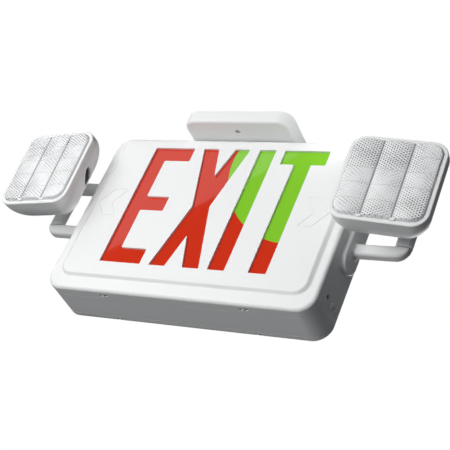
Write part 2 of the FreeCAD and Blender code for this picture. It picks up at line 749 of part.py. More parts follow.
def test_button():
    """Round push button that slides in the switch's bush."""
    wall = button_place()
    out = Vector(1, 0, 0)
    end = wall - out * (FRAME_WALL + SWITCH_BODY_LENGTH / 2 - BUTTON_TRAVEL - SIDE_PLAY)
    tip = wall + out * (SWITCH_BEZEL + BUTTON_PROUD)
    cap = rod(BUTTON_RADIUS, end, tip)
    return broken(cap, "x", tip.x, BUTTON_EDGE)


def indicator_led():
    """Round-nosed charge indicator, set back in its hole and held by its flange."""
    wall = indicator_place()
    out = Vector(1, 0, 0)
    inside = wall - out * FRAME_WALL
    nose = rod(INDICATOR_RADIUS, inside, wall - out * INDICATOR_RECESS)
    nose = broken(nose, "x", wall.x - INDICATOR_RECESS, INDICATOR_RADIUS / 3)
    half = INDICATOR_FLANGE
    flange = block((inside.x - INDICATOR_FLANGE_THICKNESS, inside.x), (wall.y - half, wall.y + half),
                   (wall.z - half, wall.z + half))
    return nose.fuse(flange).removeSplitter()


# ---------------------------------------------------------------- fork bracket and swivel
def fork_arm(level):
    """One arm of the fork: a bar with eased edges and a large round on its outer end corner."""
    root = SIDE + PAD_THICKNESS / 2
    z = FORK_CENTRE + level * ARM_SPACING / 2
    y_range = (PAN_Y - ARM_DEPTH / 2, PAN_Y + ARM_DEPTH / 2)
    z_range = (z - ARM_HEIGHT / 2, z + ARM_HEIGHT / 2)
    outer = z + level * ARM_HEIGHT / 2
    form = block((root, ARM_END), y_range, z_range)
    at_end = at_level("x", ARM_END)
    at_outer = at_level("z", outer)
    form = form.makeFillet(ARM_END_ROUND, edges_where(form, lambda p: at_end(p) and at_outer(p)))
    bar = block((root, ARM_END), y_range, z_range)
    long_edges = [edge for edge in bar.Edges if edge.Length > ARM_END - root - 1]
    return form.common(bar.makeChamfer(ARM_EDGE, long_edges))


def fork_bracket():
    """Oval pad with two arms whose outer corners are rounded, bored for the pan pin."""
    insets = ((0, 0), (0, PAD_THICKNESS - PAD_EDGE), (PAD_EDGE, PAD_THICKNESS))
    pad = flat_loft([corner_ring(PAD_WIDTH - 2 * inset, PAD_HEIGHT - 2 * inset, PAD_CORNER - inset, level)
                     for inset, level in insets])
    pad.rotate(Vector(0, 0, 0), Vector(0, 0, 1), -90)
    pad.translate(Vector(SIDE, PAN_Y, FORK_CENTRE))
    bracket = pad.fuse([fork_arm(level) for level in (-1, 1)])
    low = Vector(PAN_X, PAN_Y, FORK_CENTRE - ARM_GAP / 2 - PAN_PIN_BLIND)
    top = Vector(PAN_X, PAN_Y, FORK_CENTRE + ARM_GAP / 2 + PAN_PIN_BLIND)
    bracket = bracket.cut(rod(PAN_PIN_RADIUS + SEATED, low, top))
    for z in bracket_screw_heights():
        seat = Vector(SIDE - 1, PAN_Y, z)
        bracket = bracket.cut(rod(BRACKET_SCREW_RADIUS + SEATED, seat, seat + Vector(1 + BRACKET_SCREW_BITE, 0, 0)))
    return bracket.removeSplitter()


def bracket_screws():
    """Four screws that hold both fork brackets from inside the frame."""
    screws = []
    for side in (-1, 1):
        for z in bracket_screw_heights():
            seat = Vector(side * (SIDE - FRAME_WALL), PAN_Y, z)
            out = Vector(side, 0, 0)
            head = hexagon(BRACKET_SCREW_FLATS, 0, BRACKET_SCREW_HEAD)
            head.rotate(Vector(0, 0, 0), Vector(0, 1, 0), -side * 90)
            head.translate(seat)
            shank = rod(BRACKET_SCREW_RADIUS, seat, seat + out * (FRAME_WALL + BRACKET_SCREW_BITE))
            screws.append(head.fuse(shank).removeSplitter())
    return Part.makeCompound(screws)


def pan_pin():
    """Upright pin through the knuckle, with its ends in blind bores of both arms."""
    low = Vector(PAN_X, PAN_Y, FORK_CENTRE - ARM_GAP / 2 - PAN_PIN_BLIND + SIDE_PLAY)
    top = Vector(PAN_X, PAN_Y, FORK_CENTRE + ARM_GAP / 2 + PAN_PIN_BLIND - SIDE_PLAY)
    return rod(PAN_PIN_RADIUS, low, top)


def knuckle():
    """Swivel block round the pan pin, with an offset tongue that carries the head."""
    half = ARM_GAP / 2 - KNUCKLE_END_GAP
    bar = block((-KNUCKLE_WIDTH / 2, KNUCKLE_WIDTH / 2), (-KNUCKLE_DEPTH / 2, KNUCKLE_DEPTH / 2), (-half, half))
    bar = bar.makeChamfer(KNUCKLE_EDGE, [edge for edge in bar.Edges if edge.Length > half])
    bar.translate(Vector(0, 0, -TONGUE_RISE))
    height = 2 * TONGUE_RADIUS
    left = -TONGUE_INSET - TONGUE_THICKNESS / 2
    right = -TONGUE_INSET + TONGUE_THICKNESS / 2
    bend = TONGUE_REACH * 0.42
    points = [Vector(-KNUCKLE_WIDTH / 4, 0, -TONGUE_RADIUS), Vector(left, -bend * 0.75, -TONGUE_RADIUS),
              Vector(left, -TONGUE_REACH, -TONGUE_RADIUS), Vector(right, -TONGUE_REACH, -TONGUE_RADIUS),
              Vector(right, -bend, -TONGUE_RADIUS), Vector(KNUCKLE_WIDTH / 2 - KNUCKLE_EDGE, 0, -TONGUE_RADIUS)]
    web = Part.Face(Part.makePolygon(points + points[:1])).extrude(Vector(0, 0, height))
    middle = Vector(0, -TONGUE_REACH, 0)
    nose = rod(TONGUE_RADIUS, middle + Vector(left, 0, 0), middle + Vector(right, 0, 0))
    body = bar.fuse([web, nose])
    body = body.cut(rod(PAN_PIN_RADIUS + RUNNING, Vector(0, 0, -ARM_SPACING), Vector(0, 0, ARM_SPACING)))
    far = TONGUE_INSET + TONGUE_THICKNESS
    body = body.cut(rod(TILT_PIN_RADIUS + RUNNING, middle - Vector(far, 0, 0), middle + Vector(far, 0, 0)))
    return knuckle_place(body.removeSplitter())


def knuckle_place(shape):
    """Stand a piece drawn about the pan axis at the right-hand fork, panned to its rest angle."""
    placed = shape.copy()
    placed.Placement = Placement(Vector(PAN_X, PAN_Y, TONGUE_Z), Rotation(Vector(0, 0, 1), REST_PAN))
    return placed


# ---------------------------------------------------------------- lamp head
def head_place(shape):
    """Hang a piece drawn about the lens centre on the right-hand tongue, at its rest angles."""
    pan = Rotation(Vector(0, 0, 1), REST_PAN)
    tilt = Rotation(Vector(1, 0, 0), REST_TILT)
    pivot = Vector(PAN_X, PAN_Y, TONGUE_Z) + pan.multVec(Vector(-TONGUE_INSET, -TONGUE_REACH, 0))
    turn = pan.multiply(tilt)
    placed = shape.copy()
    placed.Placement = Placement(pivot - turn.multVec(Vector(0, PIVOT_DEPTH, 0)), turn)
    return placed


def dome_ring(share, inset):
    """Ring of the lamp shell's dome at a share of its depth, drawn in by a wall thickness."""
    back = SHELL_BACK_SIZE / 2
    half = HEAD_SIZE / 2
    side = back + (half - back) * (1 - share ** DOME_SIDE_POWER) ** (1 / DOME_SIDE_POWER)
    end = back + (half - back) * (1 - share ** DOME_END_POWER) ** (1 / DOME_END_POWER)
    corner = HEAD_CORNER * (DOME_CORNER_SHARE + (1 - DOME_CORNER_SHARE) * side / half)
    y = RIM_DEPTH + (SHELL_DEPTH - RIM_DEPTH - inset) * share
    return corner_ring(2 * (side - inset), 2 * (end - inset), corner - inset, y)


def dome(inset, bands):
    """Solid dome behind the rim, in flat-faced bands that shorten towards its back."""
    shares = [math.sin(QUARTER_TURN * index / bands) for index in range(bands + 1)]
    return flat_loft([dome_ring(share, inset) for share in shares])


def flat_slab(size, radius, y_from, y_to):
    """Square plate between two Y planes, with corners of a few flats to match the dome."""
    return flat_loft([corner_ring(size, size, radius, y) for y in (y_from, y_to)])


def tilt_ears():
    """Two ears inside the shell's back, one each side of the tongue's slot."""
    ears = []
    for side in (-1, 1):
        near = side * TONGUE_SLOT / 2
        far = near + side * EAR_THICKNESS
        pivot = Vector(0, PIVOT_DEPTH, 0)
        disc = rod(EAR_RADIUS, pivot + Vector(min(near, far), 0, 0), pivot + Vector(max(near, far), 0, 0))
        root = block((min(near, far), max(near, far)), (PIVOT_DEPTH, SHELL_DEPTH - SHELL_WALL / 2),
                     (-EAR_RADIUS, EAR_RADIUS))
        ears.append(disc.fuse(root))
    return ears


def lamp_shell():
    """Domed back shell with a spigot, a rear slot and two ears for the tilt pin."""
    spigot_size = HEAD_SIZE - 2 * (RIM_WALL + DROP_IN)
    corner = HEAD_CORNER - RIM_WALL - DROP_IN
    front = RIM_LIP_THICKNESS + LENS_THICKNESS + REFLECTOR_WALL
    spigot = flat_slab(spigot_size, corner, front, RIM_DEPTH + SHELL_WALL)
    mouth = flat_slab(spigot_size - 2 * SHELL_WALL, corner - SHELL_WALL, front - 1, RIM_DEPTH + SHELL_WALL + 1)
    body = dome(0.0, DOME_BANDS).cut(dome(SHELL_WALL, DOME_INNER_BANDS)).fuse(spigot).cut(mouth)
    slot = block((-TONGUE_SLOT / 2, TONGUE_SLOT / 2), (PIVOT_DEPTH - TONGUE_RADIUS, SHELL_DEPTH + 1),
                 (-SLOT_HALF_HEIGHT, SLOT_HALF_HEIGHT))
    body = body.fuse(tilt_ears()).cut(slot)
    reach = Vector(TONGUE_SLOT / 2 + EAR_THICKNESS + 1, 0, 0)
    pivot = Vector(0, PIVOT_DEPTH, 0)
    return head_place(body.cut(rod(TILT_PIN_RADIUS + SEATED, pivot - reach, pivot + reach)).removeSplitter())


def tilt_pin():
    """Cross pin through the ears and the tongue."""
    reach = Vector(TONGUE_SLOT / 2 + EAR_THICKNESS, 0, 0)
    pivot = Vector(0, PIVOT_DEPTH, 0)
    return head_place(rod(TILT_PIN_RADIUS, pivot - reach, pivot + reach))


def lamp_rim():
    """Square bezel that traps the lens and slides over the shell's spigot."""
    window = HEAD_SIZE - 2 * (RIM_WALL + RIM_LIP)
    pocket_size = HEAD_SIZE - 2 * RIM_WALL
    body = flat_loft([corner_ring(HEAD_SIZE - 2 * RIM_FRONT_EDGE, HEAD_SIZE - 2 * RIM_FRONT_EDGE,
                                  HEAD_CORNER - RIM_FRONT_EDGE, 0),
                      corner_ring(HEAD_SIZE, HEAD_SIZE, HEAD_CORNER, RIM_FRONT_EDGE),
                      corner_ring(HEAD_SIZE, HEAD_SIZE, HEAD_CORNER, RIM_DEPTH)])
    opening = flat_slab(window, HEAD_CORNER - RIM_WALL - RIM_LIP, -1, RIM_LIP_THICKNESS + 1)
    pocket = flat_slab(pocket_size, HEAD_CORNER - RIM_WALL, RIM_LIP_THICKNESS, RIM_DEPTH + 1)
    return head_place(body.cut(opening).cut(pocket))


def lens_columns(window):
    """Row of upright convex columns across the lens, in front of its flange."""
    pitch = window / LENS_COLUMNS
    radius = (pitch * pitch / 4 + LENS_CROWN * LENS_CROWN) / (2 * LENS_CROWN)
    columns = []
    for index in range(LENS_COLUMNS):
        x = (index - (LENS_COLUMNS - 1) / 2) * pitch
        axis = Vector(x, radius - LENS_CROWN, -HEAD_SIZE)
        column = rod(radius, axis, axis + Vector(0, 0, 2 * HEAD_SIZE))
        strip = block((x - pitch / 2, x + pitch / 2), (-LENS_CROWN - 1, RIM_LIP_THICKNESS), (-HEAD_SIZE, HEAD_SIZE))
        columns.append(column.common(strip))
    return columns[0].fuse(columns[1:])


def lamp_lens():
    """Clear lens with three upright bulging columns and a flange behind the rim's lip."""
    window = HEAD_SIZE - 2 * (RIM_WALL + RIM_LIP + DROP_IN)
    corner = HEAD_CORNER - RIM_WALL - RIM_LIP - DROP_IN
    back = RIM_LIP_THICKNESS + LENS_THICKNESS
    flange = flat_slab(HEAD_SIZE - 2 * (RIM_WALL + DROP_IN), HEAD_CORNER - RIM_WALL - DROP_IN,
                       RIM_LIP_THICKNESS, back)
    front = lens_columns(window).common(flat_slab(window, corner, -LENS_CROWN - 1, RIM_LIP_THICKNESS))
    hollow = flat_slab(window - 2 * LENS_THICKNESS, corner - LENS_THICKNESS, LENS_THICKNESS - LENS_CROWN / 2, back + 1)
    return head_place(flange.fuse(front).cut(hollow).removeSplitter())


def dish(grow, front, end):
    """Tapering square dish from the reflector's mouth to its throat, grown by a wall thickness."""
    mouth = REFLECTOR_MOUTH + 2 * grow
    throat = REFLECTOR_THROAT + 2 * grow
    return flat_loft([corner_ring(mouth, mouth, REFLECTOR_CORNER + grow, front),
                      corner_ring(throat, throat, REFLECTOR_CORNER / 2 + grow, end)])


def lamp_reflector():
    """Square dish from a flange behind the lens to a throat at the emitter."""
    front = RIM_LIP_THICKNESS + LENS_THICKNESS
    end = front + REFLECTOR_REACH
    flange = flat_slab(HEAD_SIZE - 2 * (RIM_WALL + DROP_IN), HEAD_CORNER - RIM_WALL - DROP_IN,
                       front, front + REFLECTOR_WALL)
    outer = dish(REFLECTOR_WALL, front, end)
    return head_place(flange.fuse(outer).cut(dish(0.0, front, end)).removeSplitter())


def lamp_board():
    """Small board behind the throat, with its emitter inside it."""
    face = RIM_LIP_THICKNESS + LENS_THICKNESS + REFLECTOR_REACH
    half = LAMP_BOARD_SIZE / 2
    board = block((-half, half), (face, face + BOARD_THICKNESS), (-half, half))
    half = EMITTER_SIZE / 2
    emitter = block((-half, half), (face - EMITTER_THICKNESS, face), (-half, half))
    return head_place(board.fuse(emitter).removeSplitter())


# ---------------------------------------------------------------- the whole light
def build():
    """Every piece of the light, by node name."""
    nodes = {
        "canopy": canopy(),
        "mounting_plate": mounting_plate(),
        "canopy_screws": canopy_screws(),
        "neck_spacer": neck_spacer(),
        "nipple": nipple(),
        "nipple_nuts": nipple_nuts(),
        "face_cover": face_cover(),
        "housing_frame": housing_frame(),
        "back_cover": back_cover(),
        "legend_panel": legend_panel(),
        "diffuser_sheet": diffuser_sheet(),
        "light_tray": light_tray(),
        "legend_led_board_top": legend_led_board(1),
        "legend_led_board_bottom": legend_led_board(-1),
        "battery_pack": battery_pack(),
        "battery_clip": battery_clip(),
        "charger_board": charger_board(),
        "transformer": transformer(),
        "transfer_relay": transfer_relay(),
        "terminal_block": terminal_block(),
        "capacitors": capacitors(),
        "test_switch": test_switch(),
        "test_button": test_button(),
        "indicator_led": indicator_led(),
        "bracket_screws": bracket_screws(),
    }
    for name, shape in (("fork_bracket", fork_bracket()), ("pan_pin", pan_pin()), ("knuckle", knuckle()),
                        ("tilt_pin", tilt_pin()), ("lamp_shell", lamp_shell()), ("lamp_rim", lamp_rim()),
                        ("lamp_lens", lamp_lens()), ("lamp_reflector", lamp_reflector()),
                        ("lamp_board", lamp_board())):
        nodes.update(both_sides(name, shape))
    return nodes


def main():
    """Build the pieces and write one STEP file for each."""
    os.makedirs("parts", exist_ok=True)
    for name, shape in build().items():
        shape.exportStep(os.path.join("parts", name + ".step"))


main()
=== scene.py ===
"""Dress the emergency exit light in its finishes and set it in a plain studio.

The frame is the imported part: metres, +Z up, -Y the way the legend faces.
Each sub-assembly is a class that builds its meshes and dresses them.
"""
import json
import logging
import math
from dataclasses import dataclass, field
from enum import Enum
from typing import Iterable, List, Sequence, Tuple

import bmesh
import bpy
from mathutils import Matrix, Vector


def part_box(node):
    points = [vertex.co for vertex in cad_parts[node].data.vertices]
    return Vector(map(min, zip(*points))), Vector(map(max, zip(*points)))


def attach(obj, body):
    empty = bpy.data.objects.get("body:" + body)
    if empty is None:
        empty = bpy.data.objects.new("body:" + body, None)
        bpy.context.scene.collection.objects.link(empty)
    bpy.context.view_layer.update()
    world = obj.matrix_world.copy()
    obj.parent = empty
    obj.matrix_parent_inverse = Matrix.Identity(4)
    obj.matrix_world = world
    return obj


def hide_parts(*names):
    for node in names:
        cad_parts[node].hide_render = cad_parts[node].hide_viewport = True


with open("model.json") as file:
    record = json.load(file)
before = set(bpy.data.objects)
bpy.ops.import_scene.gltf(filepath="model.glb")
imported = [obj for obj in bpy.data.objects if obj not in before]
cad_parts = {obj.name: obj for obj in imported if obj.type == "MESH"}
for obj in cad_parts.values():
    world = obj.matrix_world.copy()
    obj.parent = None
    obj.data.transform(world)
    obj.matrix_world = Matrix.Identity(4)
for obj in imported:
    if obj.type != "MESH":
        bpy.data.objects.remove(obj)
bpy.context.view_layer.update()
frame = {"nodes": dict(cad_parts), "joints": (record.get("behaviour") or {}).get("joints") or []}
LOG = logging.getLogger("exit_light")
MM = 0.001
PILLOW = 2.8 * MM
Loop = List[Vector]
Point = Tuple[float, float]
Colour = Tuple[float, float, float]
Socket = bpy.types.NodeSocket
Piece = bpy.types.Object
Mesh = bpy.types.Mesh
Material = bpy.types.Material


class Side(Enum):
    """Which end of the housing a piece is on; the value is its sign along X."""

    LEFT = -1
    RIGHT = 1

    def node(self, stem: str) -> str:
        """Name of this side's CAD node."""
        return f"{stem}_{self.name.lower()}"

    def flip(self) -> Matrix:
        """Matrix that takes right-hand geometry to this side."""
        return Matrix.Scale(-1, 4, Vector((1, 0, 0))) if self is Side.LEFT else Matrix.Identity(4)

    def stand(self, piece: Piece, place: Matrix) -> Piece:
        """Move a piece's mesh to its place, with its faces outwards after a mirror.

        Args:
            piece: The piece, built for the right-hand side.
            place: Its place, with this side's mirror in it.

        Returns:
            The same piece.
        """
        piece.data.transform(place)
        if self is Side.LEFT:
            piece.data.flip_normals()
        return piece


# ---------------------------------------------------------------- finishes
class Shader:
    """Small wrapper that builds one node material on Object coordinates."""

    def __init__(self, name: str) -> None:
        """Start a material with a bare Principled shader.

        Args:
            name: Name of the material.
        """
        self.material = bpy.data.materials.new(name)
        self.material.use_nodes = True
        self.tree = self.material.node_tree
        self.bsdf = self.tree.nodes["Principled BSDF"]
        self.place = self.tree.nodes.new("ShaderNodeTexCoord").outputs["Object"]

    def add(self, kind: str, *inputs: object, **settings: object) -> bpy.types.Node:
        """Add a node and join or set its first inputs.

        Args:
            kind: Type of the node.
            inputs: Sockets or values for its inputs in order.
            settings: Attributes of the node.

        Returns:
            The new node.
        """
        node = self.tree.nodes.new(kind)
        for key, value in settings.items():
            setattr(node, key, value)
        for socket, value in zip(node.inputs, inputs):
            if isinstance(value, Socket):
                self.tree.links.new(value, socket)
            else:
                socket.default_value = value
        return node

    def math(self, operation: str, *inputs: object) -> Socket:
        """Result of one math node on sockets or numbers."""
        return self.add("ShaderNodeMath", *inputs, operation=operation).outputs[0]

    def ramp(self, value: Socket, start: float, end: float, low: float = 0.0, high: float = 1.0,
             kind: str = "LINEAR") -> Socket:
        """Value carried from one range to another and held at its ends.

        Args:
            value: The value.
            start: Where the ramp starts.
            end: Where it ends.
            low: Result at the start.
            high: Result at the end.
            kind: LINEAR or SMOOTHSTEP.

        Returns:
            The result's socket.
        """
        return self.add("ShaderNodeMapRange", value, start, end, low, high, interpolation_type=kind).outputs[0]

    def noise(self, scale: float, detail: float) -> Socket:
        """Value of a noise on the piece's own coordinates.

        Args:
            scale: Frequency in cycles a metre.
            detail: Octaves of the noise.

        Returns:
            The noise's value socket.
        """
        node = self.add("ShaderNodeTexNoise", self.place)
        node.inputs["Scale"].default_value = scale
        node.inputs["Detail"].default_value = detail
        return node.outputs[0]

    def blend(self, share: Socket, first: object, second: object) -> Socket:
        """Mix two colours.

        Args:
            share: Share of the second colour.
            first: Colour or socket at share 0.
            second: Colour or socket at share 1.

        Returns:
            The mixed colour's socket.
        """
        node = self.add("ShaderNodeMix", data_type="RGBA")
        self.tree.links.new(share, node.inputs[0])
        for socket, colour in zip(node.inputs[6:8], (first, second)):
            if isinstance(colour, Socket):
                self.tree.links.new(colour, socket)
            else:
                socket.default_value = (*colour, 1.0)
        return node.outputs[2]

    def mottle(self, share: Socket, colour: Colour, drop: float) -> Socket:
        """Colour that darkens a little from place to place.

        Args:
            share: Where it is light.
            colour: The light colour.
            drop: Share of it that is lost where it is dark.

        Returns:
            The colour's socket.
        """
        return self.blend(share, [channel * (1 - drop) for channel in colour], colour)

    def bump(self, height: Socket, strength: float, distance: float) -> None:
        """Feed a height to the shader's normal.

        Args:
            height: Height socket.
            strength: Share of the bump that shows.
            distance: Depth of the bump in metres.
        """
        node = self.add("ShaderNodeBump")
        node.inputs["Strength"].default_value = strength
        node.inputs["Distance"].default_value = distance
        self.tree.links.new(height, node.inputs["Height"])
        self.tree.links.new(node.outputs[0], self.bsdf.inputs["Normal"])

    def finish(self, colour: Socket, **values: float) -> Material:
        """Feed the colour and set the shader's own sockets.

        Args:
            colour: Colour socket.
            values: Values by socket name; underscores stand for spaces.

        Returns:
            The finished material.
        """
        self.tree.links.new(colour, self.bsdf.inputs["Base Color"])
        for key, value in values.items():
            self.bsdf.inputs[key.replace("_", " ")].default_value = value
        return self.material


@dataclass(frozen=True)
class Moulded:
    """Moulded plastic: a fine spark-eroded grain with a faint change of tone."""

    name: str
    colour: Colour
    roughness: float = 0.42
    grain: float = 0.35
    variation: float = 0.025
    cloud_scale: float = 14.0
    grain_scale: float = 2600.0
    grain_depth: float = 0.04 * MM

    def make(self) -> Material:
        """Build the material.

        Returns:
            The material.
        """
        shader = Shader(self.name)
        tone = shader.mottle(shader.noise(self.cloud_scale, 4.0), self.colour, self.variation)
        shader.bump(shader.noise(self.grain_scale, 2.0), self.grain, self.grain_depth)
        return shader.finish(tone, Roughness=self.roughness)


@dataclass(frozen=True)
class Metal:
    """Bright metal with fine drawn lines along one axis."""

    name: str
    colour: Colour
    roughness: float = 0.3
    stretch: float = 0.08
    line_scale: float = 900.0
    variation: float = 0.14
    line_depth: float = 0.03 * MM

    def make(self) -> Material:
        """Build the material.

        Returns:
            The material.
        """
        shader = Shader(self.name)
        mapping = shader.add("ShaderNodeMapping", shader.place)
        mapping.inputs["Scale"].default_value = (1.0, 1.0, self.stretch)
        shader.place = mapping.outputs[0]
        lines = shader.noise(self.line_scale, 4.0)
        shader.bump(lines, 0.2, self.line_depth)
        tone = shader.mottle(lines, self.colour, self.variation)
        return shader.finish(tone, Roughness=self.roughness, Metallic=1.0)


@dataclass(frozen=True)
class Legend:
    """Glossy translucent legend sheet: red, with an oval green zone."""

    red: Colour = (0.64, 0.031, 0.008)
    green: Colour = (0.235, 0.60, 0.028)
    centre: Point = (0.0718, -0.0725)
    reach: Point = (0.0835, 0.057)
    slant: float = -50.3
    cloud_scale: float = 9.0
    red_drop: float = 0.07
    green_drop: float = 0.06
    ripple_scale: float = 30.0
    ripple_depth: float = 0.1 * MM
    roughness: float = 0.03

    def _zone(self, shader: Shader) -> Socket:
        """Share that is 1 inside the oval zone and 0 outside it.

        Args:
            shader: The material being built.

        Returns:
            The share's socket.
        """
        mapping = shader.add("ShaderNodeMapping", shader.place, vector_type="TEXTURE")
        mapping.inputs["Location"].default_value = (self.centre[0], 0.0, self.centre[1])
        mapping.inputs["Rotation"].default_value = (0.0, -math.radians(self.slant), 0.0)
        mapping.inputs["Scale"].default_value = (self.reach[0], 1.0, self.reach[1])
        in_plane = (1.0, 0.0, 1.0)
        flat = shader.add("ShaderNodeVectorMath", mapping.outputs[0], in_plane, operation="MULTIPLY")
        away = shader.add("ShaderNodeVectorMath", flat.outputs[0], operation="LENGTH")
        return shader.math("LESS_THAN", away.outputs["Value"], 1.0)

    def make(self) -> Material:
        """Build the material.

        Returns:
            The material.
        """
        shader = Shader("legend_sheet")
        cloud = shader.noise(self.cloud_scale, 3.0)
        tone = shader.blend(self._zone(shader), shader.mottle(cloud, self.red, self.red_drop),
                            shader.mottle(cloud, self.green, self.green_drop))
        shader.bump(shader.noise(self.ripple_scale, 1.0), 0.02, self.ripple_depth)
        return shader.finish(tone, Roughness=self.roughness)


@dataclass(frozen=True)
class ClearLens:
    """Clear prismatic plastic: rows of small pits between pillows, in staggered order. Its colour carries
    painted shade in the hollows, along slanting prism edges, in the flutes and between the rows.

    The lens carries its own attribute lens_place: across, up, and 1 on its face but 0 on its edge.
    """

    name: str = "lens_clear"
    tint: Colour = (0.93, 0.935, 0.945)
    # Colour of the painted shade in the hollows, along prism edges, in the flutes and between the rows.
    pit_shade: Colour = (0.05, 0.053, 0.06)
    pitch: float = PILLOW
    pit_edge: Point = (0.75, 2.0)
    # Random patches that set how strongly the painted shade shows in the hollows.
    cloud_scale: float = 24.0
    cloud_edge: Point = (0.42, 0.58)
    cloud_floor: float = 0.08
    column: float = 29.4 * MM
    row: float = 17.5 * MM
    # Pace, edge and darkness of the painted shade along prism edges, shown in random patches.
    hatch_pace: Point = (1150.0, 1750.0)
    hatch_edge: float = 0.45
    hatch_shade: float = 0.48
    patch_scale: float = 52.0
    patch_edge: Point = (0.44, 0.6)
    # Half breadth and darkness of the painted shade lines in the flutes and between the rows.
    flute_shade: Point = (1.7 * MM, 0.8)
    row_shade: Point = (0.5 * MM, 0.4)
    pit_depth: float = 0.3 * MM
    roughness: float = 0.1
    index: float = 1.49
    clarity: float = 0.08

    def _pits(self, shader: Shader, place: Socket) -> Socket:
        """Pattern of staggered pits, 1 at the middle of each one; it shapes their bump and where their painted
        shade lies.

        Args:
            shader: The material being built.
            place: The lens's own coordinates.

        Returns:
            The pattern's value socket.
        """
        pace = 4 * math.pi / (math.sqrt(3) * self.pitch)
        total = 0.0
        for degrees in (0.0, 60.0, 120.0):
            turn = math.radians(degrees)
            way = (pace * math.cos(turn), pace * math.sin(turn), 0.0)
            phase = shader.add("ShaderNodeVectorMath", place, way, operation="DOT_PRODUCT").outputs["Value"]
            total = shader.math("ADD", total, shader.math("COSINE", phase))
        return shader.ramp(total, *self.pit_edge, kind="SMOOTHSTEP")

    def _edge_shade(self, shader: Shader, across: Socket, up: Socket) -> Socket:
        """Painted shade along slanting prism edges that change direction from one cell to the next.

        Args:
            shader: The material being built.
            across: Place across the lens.
            up: Place up the lens.

        Returns:
            The painted shade's value socket, 1 on an edge.
        """
        cells = [shader.math("FLOOR", shader.math("ADD", shader.math("DIVIDE", part, pitch), 10.5))
                 for part, pitch in ((across, self.column), (up, self.row))]
        odd = shader.math("MODULO", shader.math("ADD", *cells), 2.0)
        lean = shader.math("MULTIPLY", across, shader.ramp(odd, 0.0, 1.0, -1.0, 1.0))
        phase = shader.math("ADD", shader.math("MULTIPLY", lean, self.hatch_pace[0]),
                            shader.math("MULTIPLY", up, self.hatch_pace[1]))
        lines = shader.ramp(shader.math("COSINE", phase), self.hatch_edge, 1.0, kind="SMOOTHSTEP")
        # Random patches where this painted shade shows.
        patches = shader.ramp(shader.noise(self.patch_scale, 2.0), *self.patch_edge, 0.0, self.hatch_shade)
        return shader.math("MULTIPLY", lines, patches)

    def _shade_lines(self, shader: Shader, part: Socket, pitch: float, line_shade: Point) -> Socket:
        """Thin lines of painted shade in the flutes, or between the rows of prisms.

        Args:
            shader: The material being built.
            part: Place across the lines.
            pitch: Distance from line to line.
            line_shade: Half breadth of a line, and how dark its painted shade is.

        Returns:
            The lines' value socket, 1 on a line.
        """
        share = shader.math("FRACT", shader.math("ADD", shader.math("DIVIDE", part, pitch), 10.0))
        away = shader.math("ABSOLUTE", shader.math("SUBTRACT", share, 0.5))
        return shader.ramp(away, 0.0, line_shade[0] / pitch, line_shade[1], 0.0)

    def make(self) -> Material:
        """Build the material.

        Returns:
            The material.
        """
        shader = Shader(self.name)
        place = shader.add("ShaderNodeAttribute", attribute_name="lens_place").outputs["Vector"]
        across, up, face = shader.add("ShaderNodeSeparateXYZ", place).outputs
        pits = self._pits(shader, place)
        # Painted shade in the hollows between pillows, stronger in random patches.
        cloud = shader.ramp(shader.noise(self.cloud_scale, 2.0), *self.cloud_edge, self.cloud_floor)
        share = shader.math("MULTIPLY", pits, cloud)
        # Painted shade along prism edges, in the flutes and between the rows is added to it.
        for lines in (self._edge_shade(shader, across, up), self._shade_lines(shader, across, self.column, self.flute_shade),
                      self._shade_lines(shader, up, self.row, self.row_shade)):
            share = shader.math("MAXIMUM", share, lines)
        # The tint darkens towards the painted shade colour where the painted shade lies, except at the lens's
        # edge.
        tone = shader.blend(shader.math("MULTIPLY", share, face), self.tint, self.pit_shade)
        shader.bump(shader.math("SUBTRACT", 1.0, pits), 0.4, self.pit_depth)
        return shader.finish(tone, Roughness=self.roughness, IOR=self.index, Transmission_Weight=self.clarity)


class Paints:
    """Every finish of the light, built once."""

    def __init__(self) -> None:
        """Build the finishes."""
        self.white = Moulded("white_housing", (0.86, 0.865, 0.865)).make()
        self.opal = Moulded("opal_sheet", (0.9, 0.9, 0.88), 0.5).make()
        self.steel = Metal("zinc_steel", (0.66, 0.67, 0.68), 0.34).make()
        self.mirror = Metal("mirror_coat", (0.93, 0.93, 0.94), 0.08).make()
        self.board = Moulded("solder_mask", (0.72, 0.76, 0.72), 0.35, 0.2, 0.06).make()
        self.wrap = Moulded("cell_wrap", (0.02, 0.08, 0.3), 0.2, 0.1, 0.2).make()
        self.component = Moulded("component_case", (0.03, 0.032, 0.036), 0.4, 0.5, 0.3).make()
        self.bezel = Moulded("switch_bezel", (0.84, 0.845, 0.845), 0.3).make()
        self.button = Moulded("button_grey", (0.62, 0.63, 0.63), 0.35, 0.2, 0.1).make()
        self.indicator = Moulded("indicator_tint", (0.012, 0.01, 0.01), 0.15, 0.05, 0.1).make()
        self.legend = Legend().make()
        self.lens = ClearLens().make()


# ---------------------------------------------------------------- mesh tools
def quarter(steps: int) -> List[Point]:
    """Quarter round of radius 1 from (0, 1) to (1, 0): how far it is drawn in and what is left of its rise."""
    angles = [math.pi / 2 * step / steps for step in range(steps + 1)]
    return [(1 - math.cos(angle), 1 - math.sin(angle)) for angle in angles]


def rounded_loop(width: float, height: float, radius: float, y: float = 0.0, z: float = 0.0,
                 steps: int = 10) -> Loop:
    """Rounded rectangle in an XZ plane, with its middle at x 0.

    Args:
        width: Width along X.
        height: Height along Z.
        radius: Corner radius.
        y: Place of the plane.
        z: Middle height.
        steps: Segments in each corner.

    Returns:
        Its points, anticlockwise seen from -Y with X to the right.
    """
    points = []
    radius = max(radius, 0.01 * MM)
    for index, (across, up) in enumerate(((1, 1), (-1, 1), (-1, -1), (1, -1))):
        cx = across * (width / 2 - radius)
        cz = z + up * (height / 2 - radius)
        for step in range(steps + 1):
            angle = math.pi / 2 * (index + step / steps)
            points.append(Vector((cx + radius * math.cos(angle), y, cz + radius * math.sin(angle))))
    return points


def square_loop(size: float, radius: float, y: float) -> Loop:
    """Rounded square in an XZ plane."""
    return rounded_loop(size, size, radius, y)


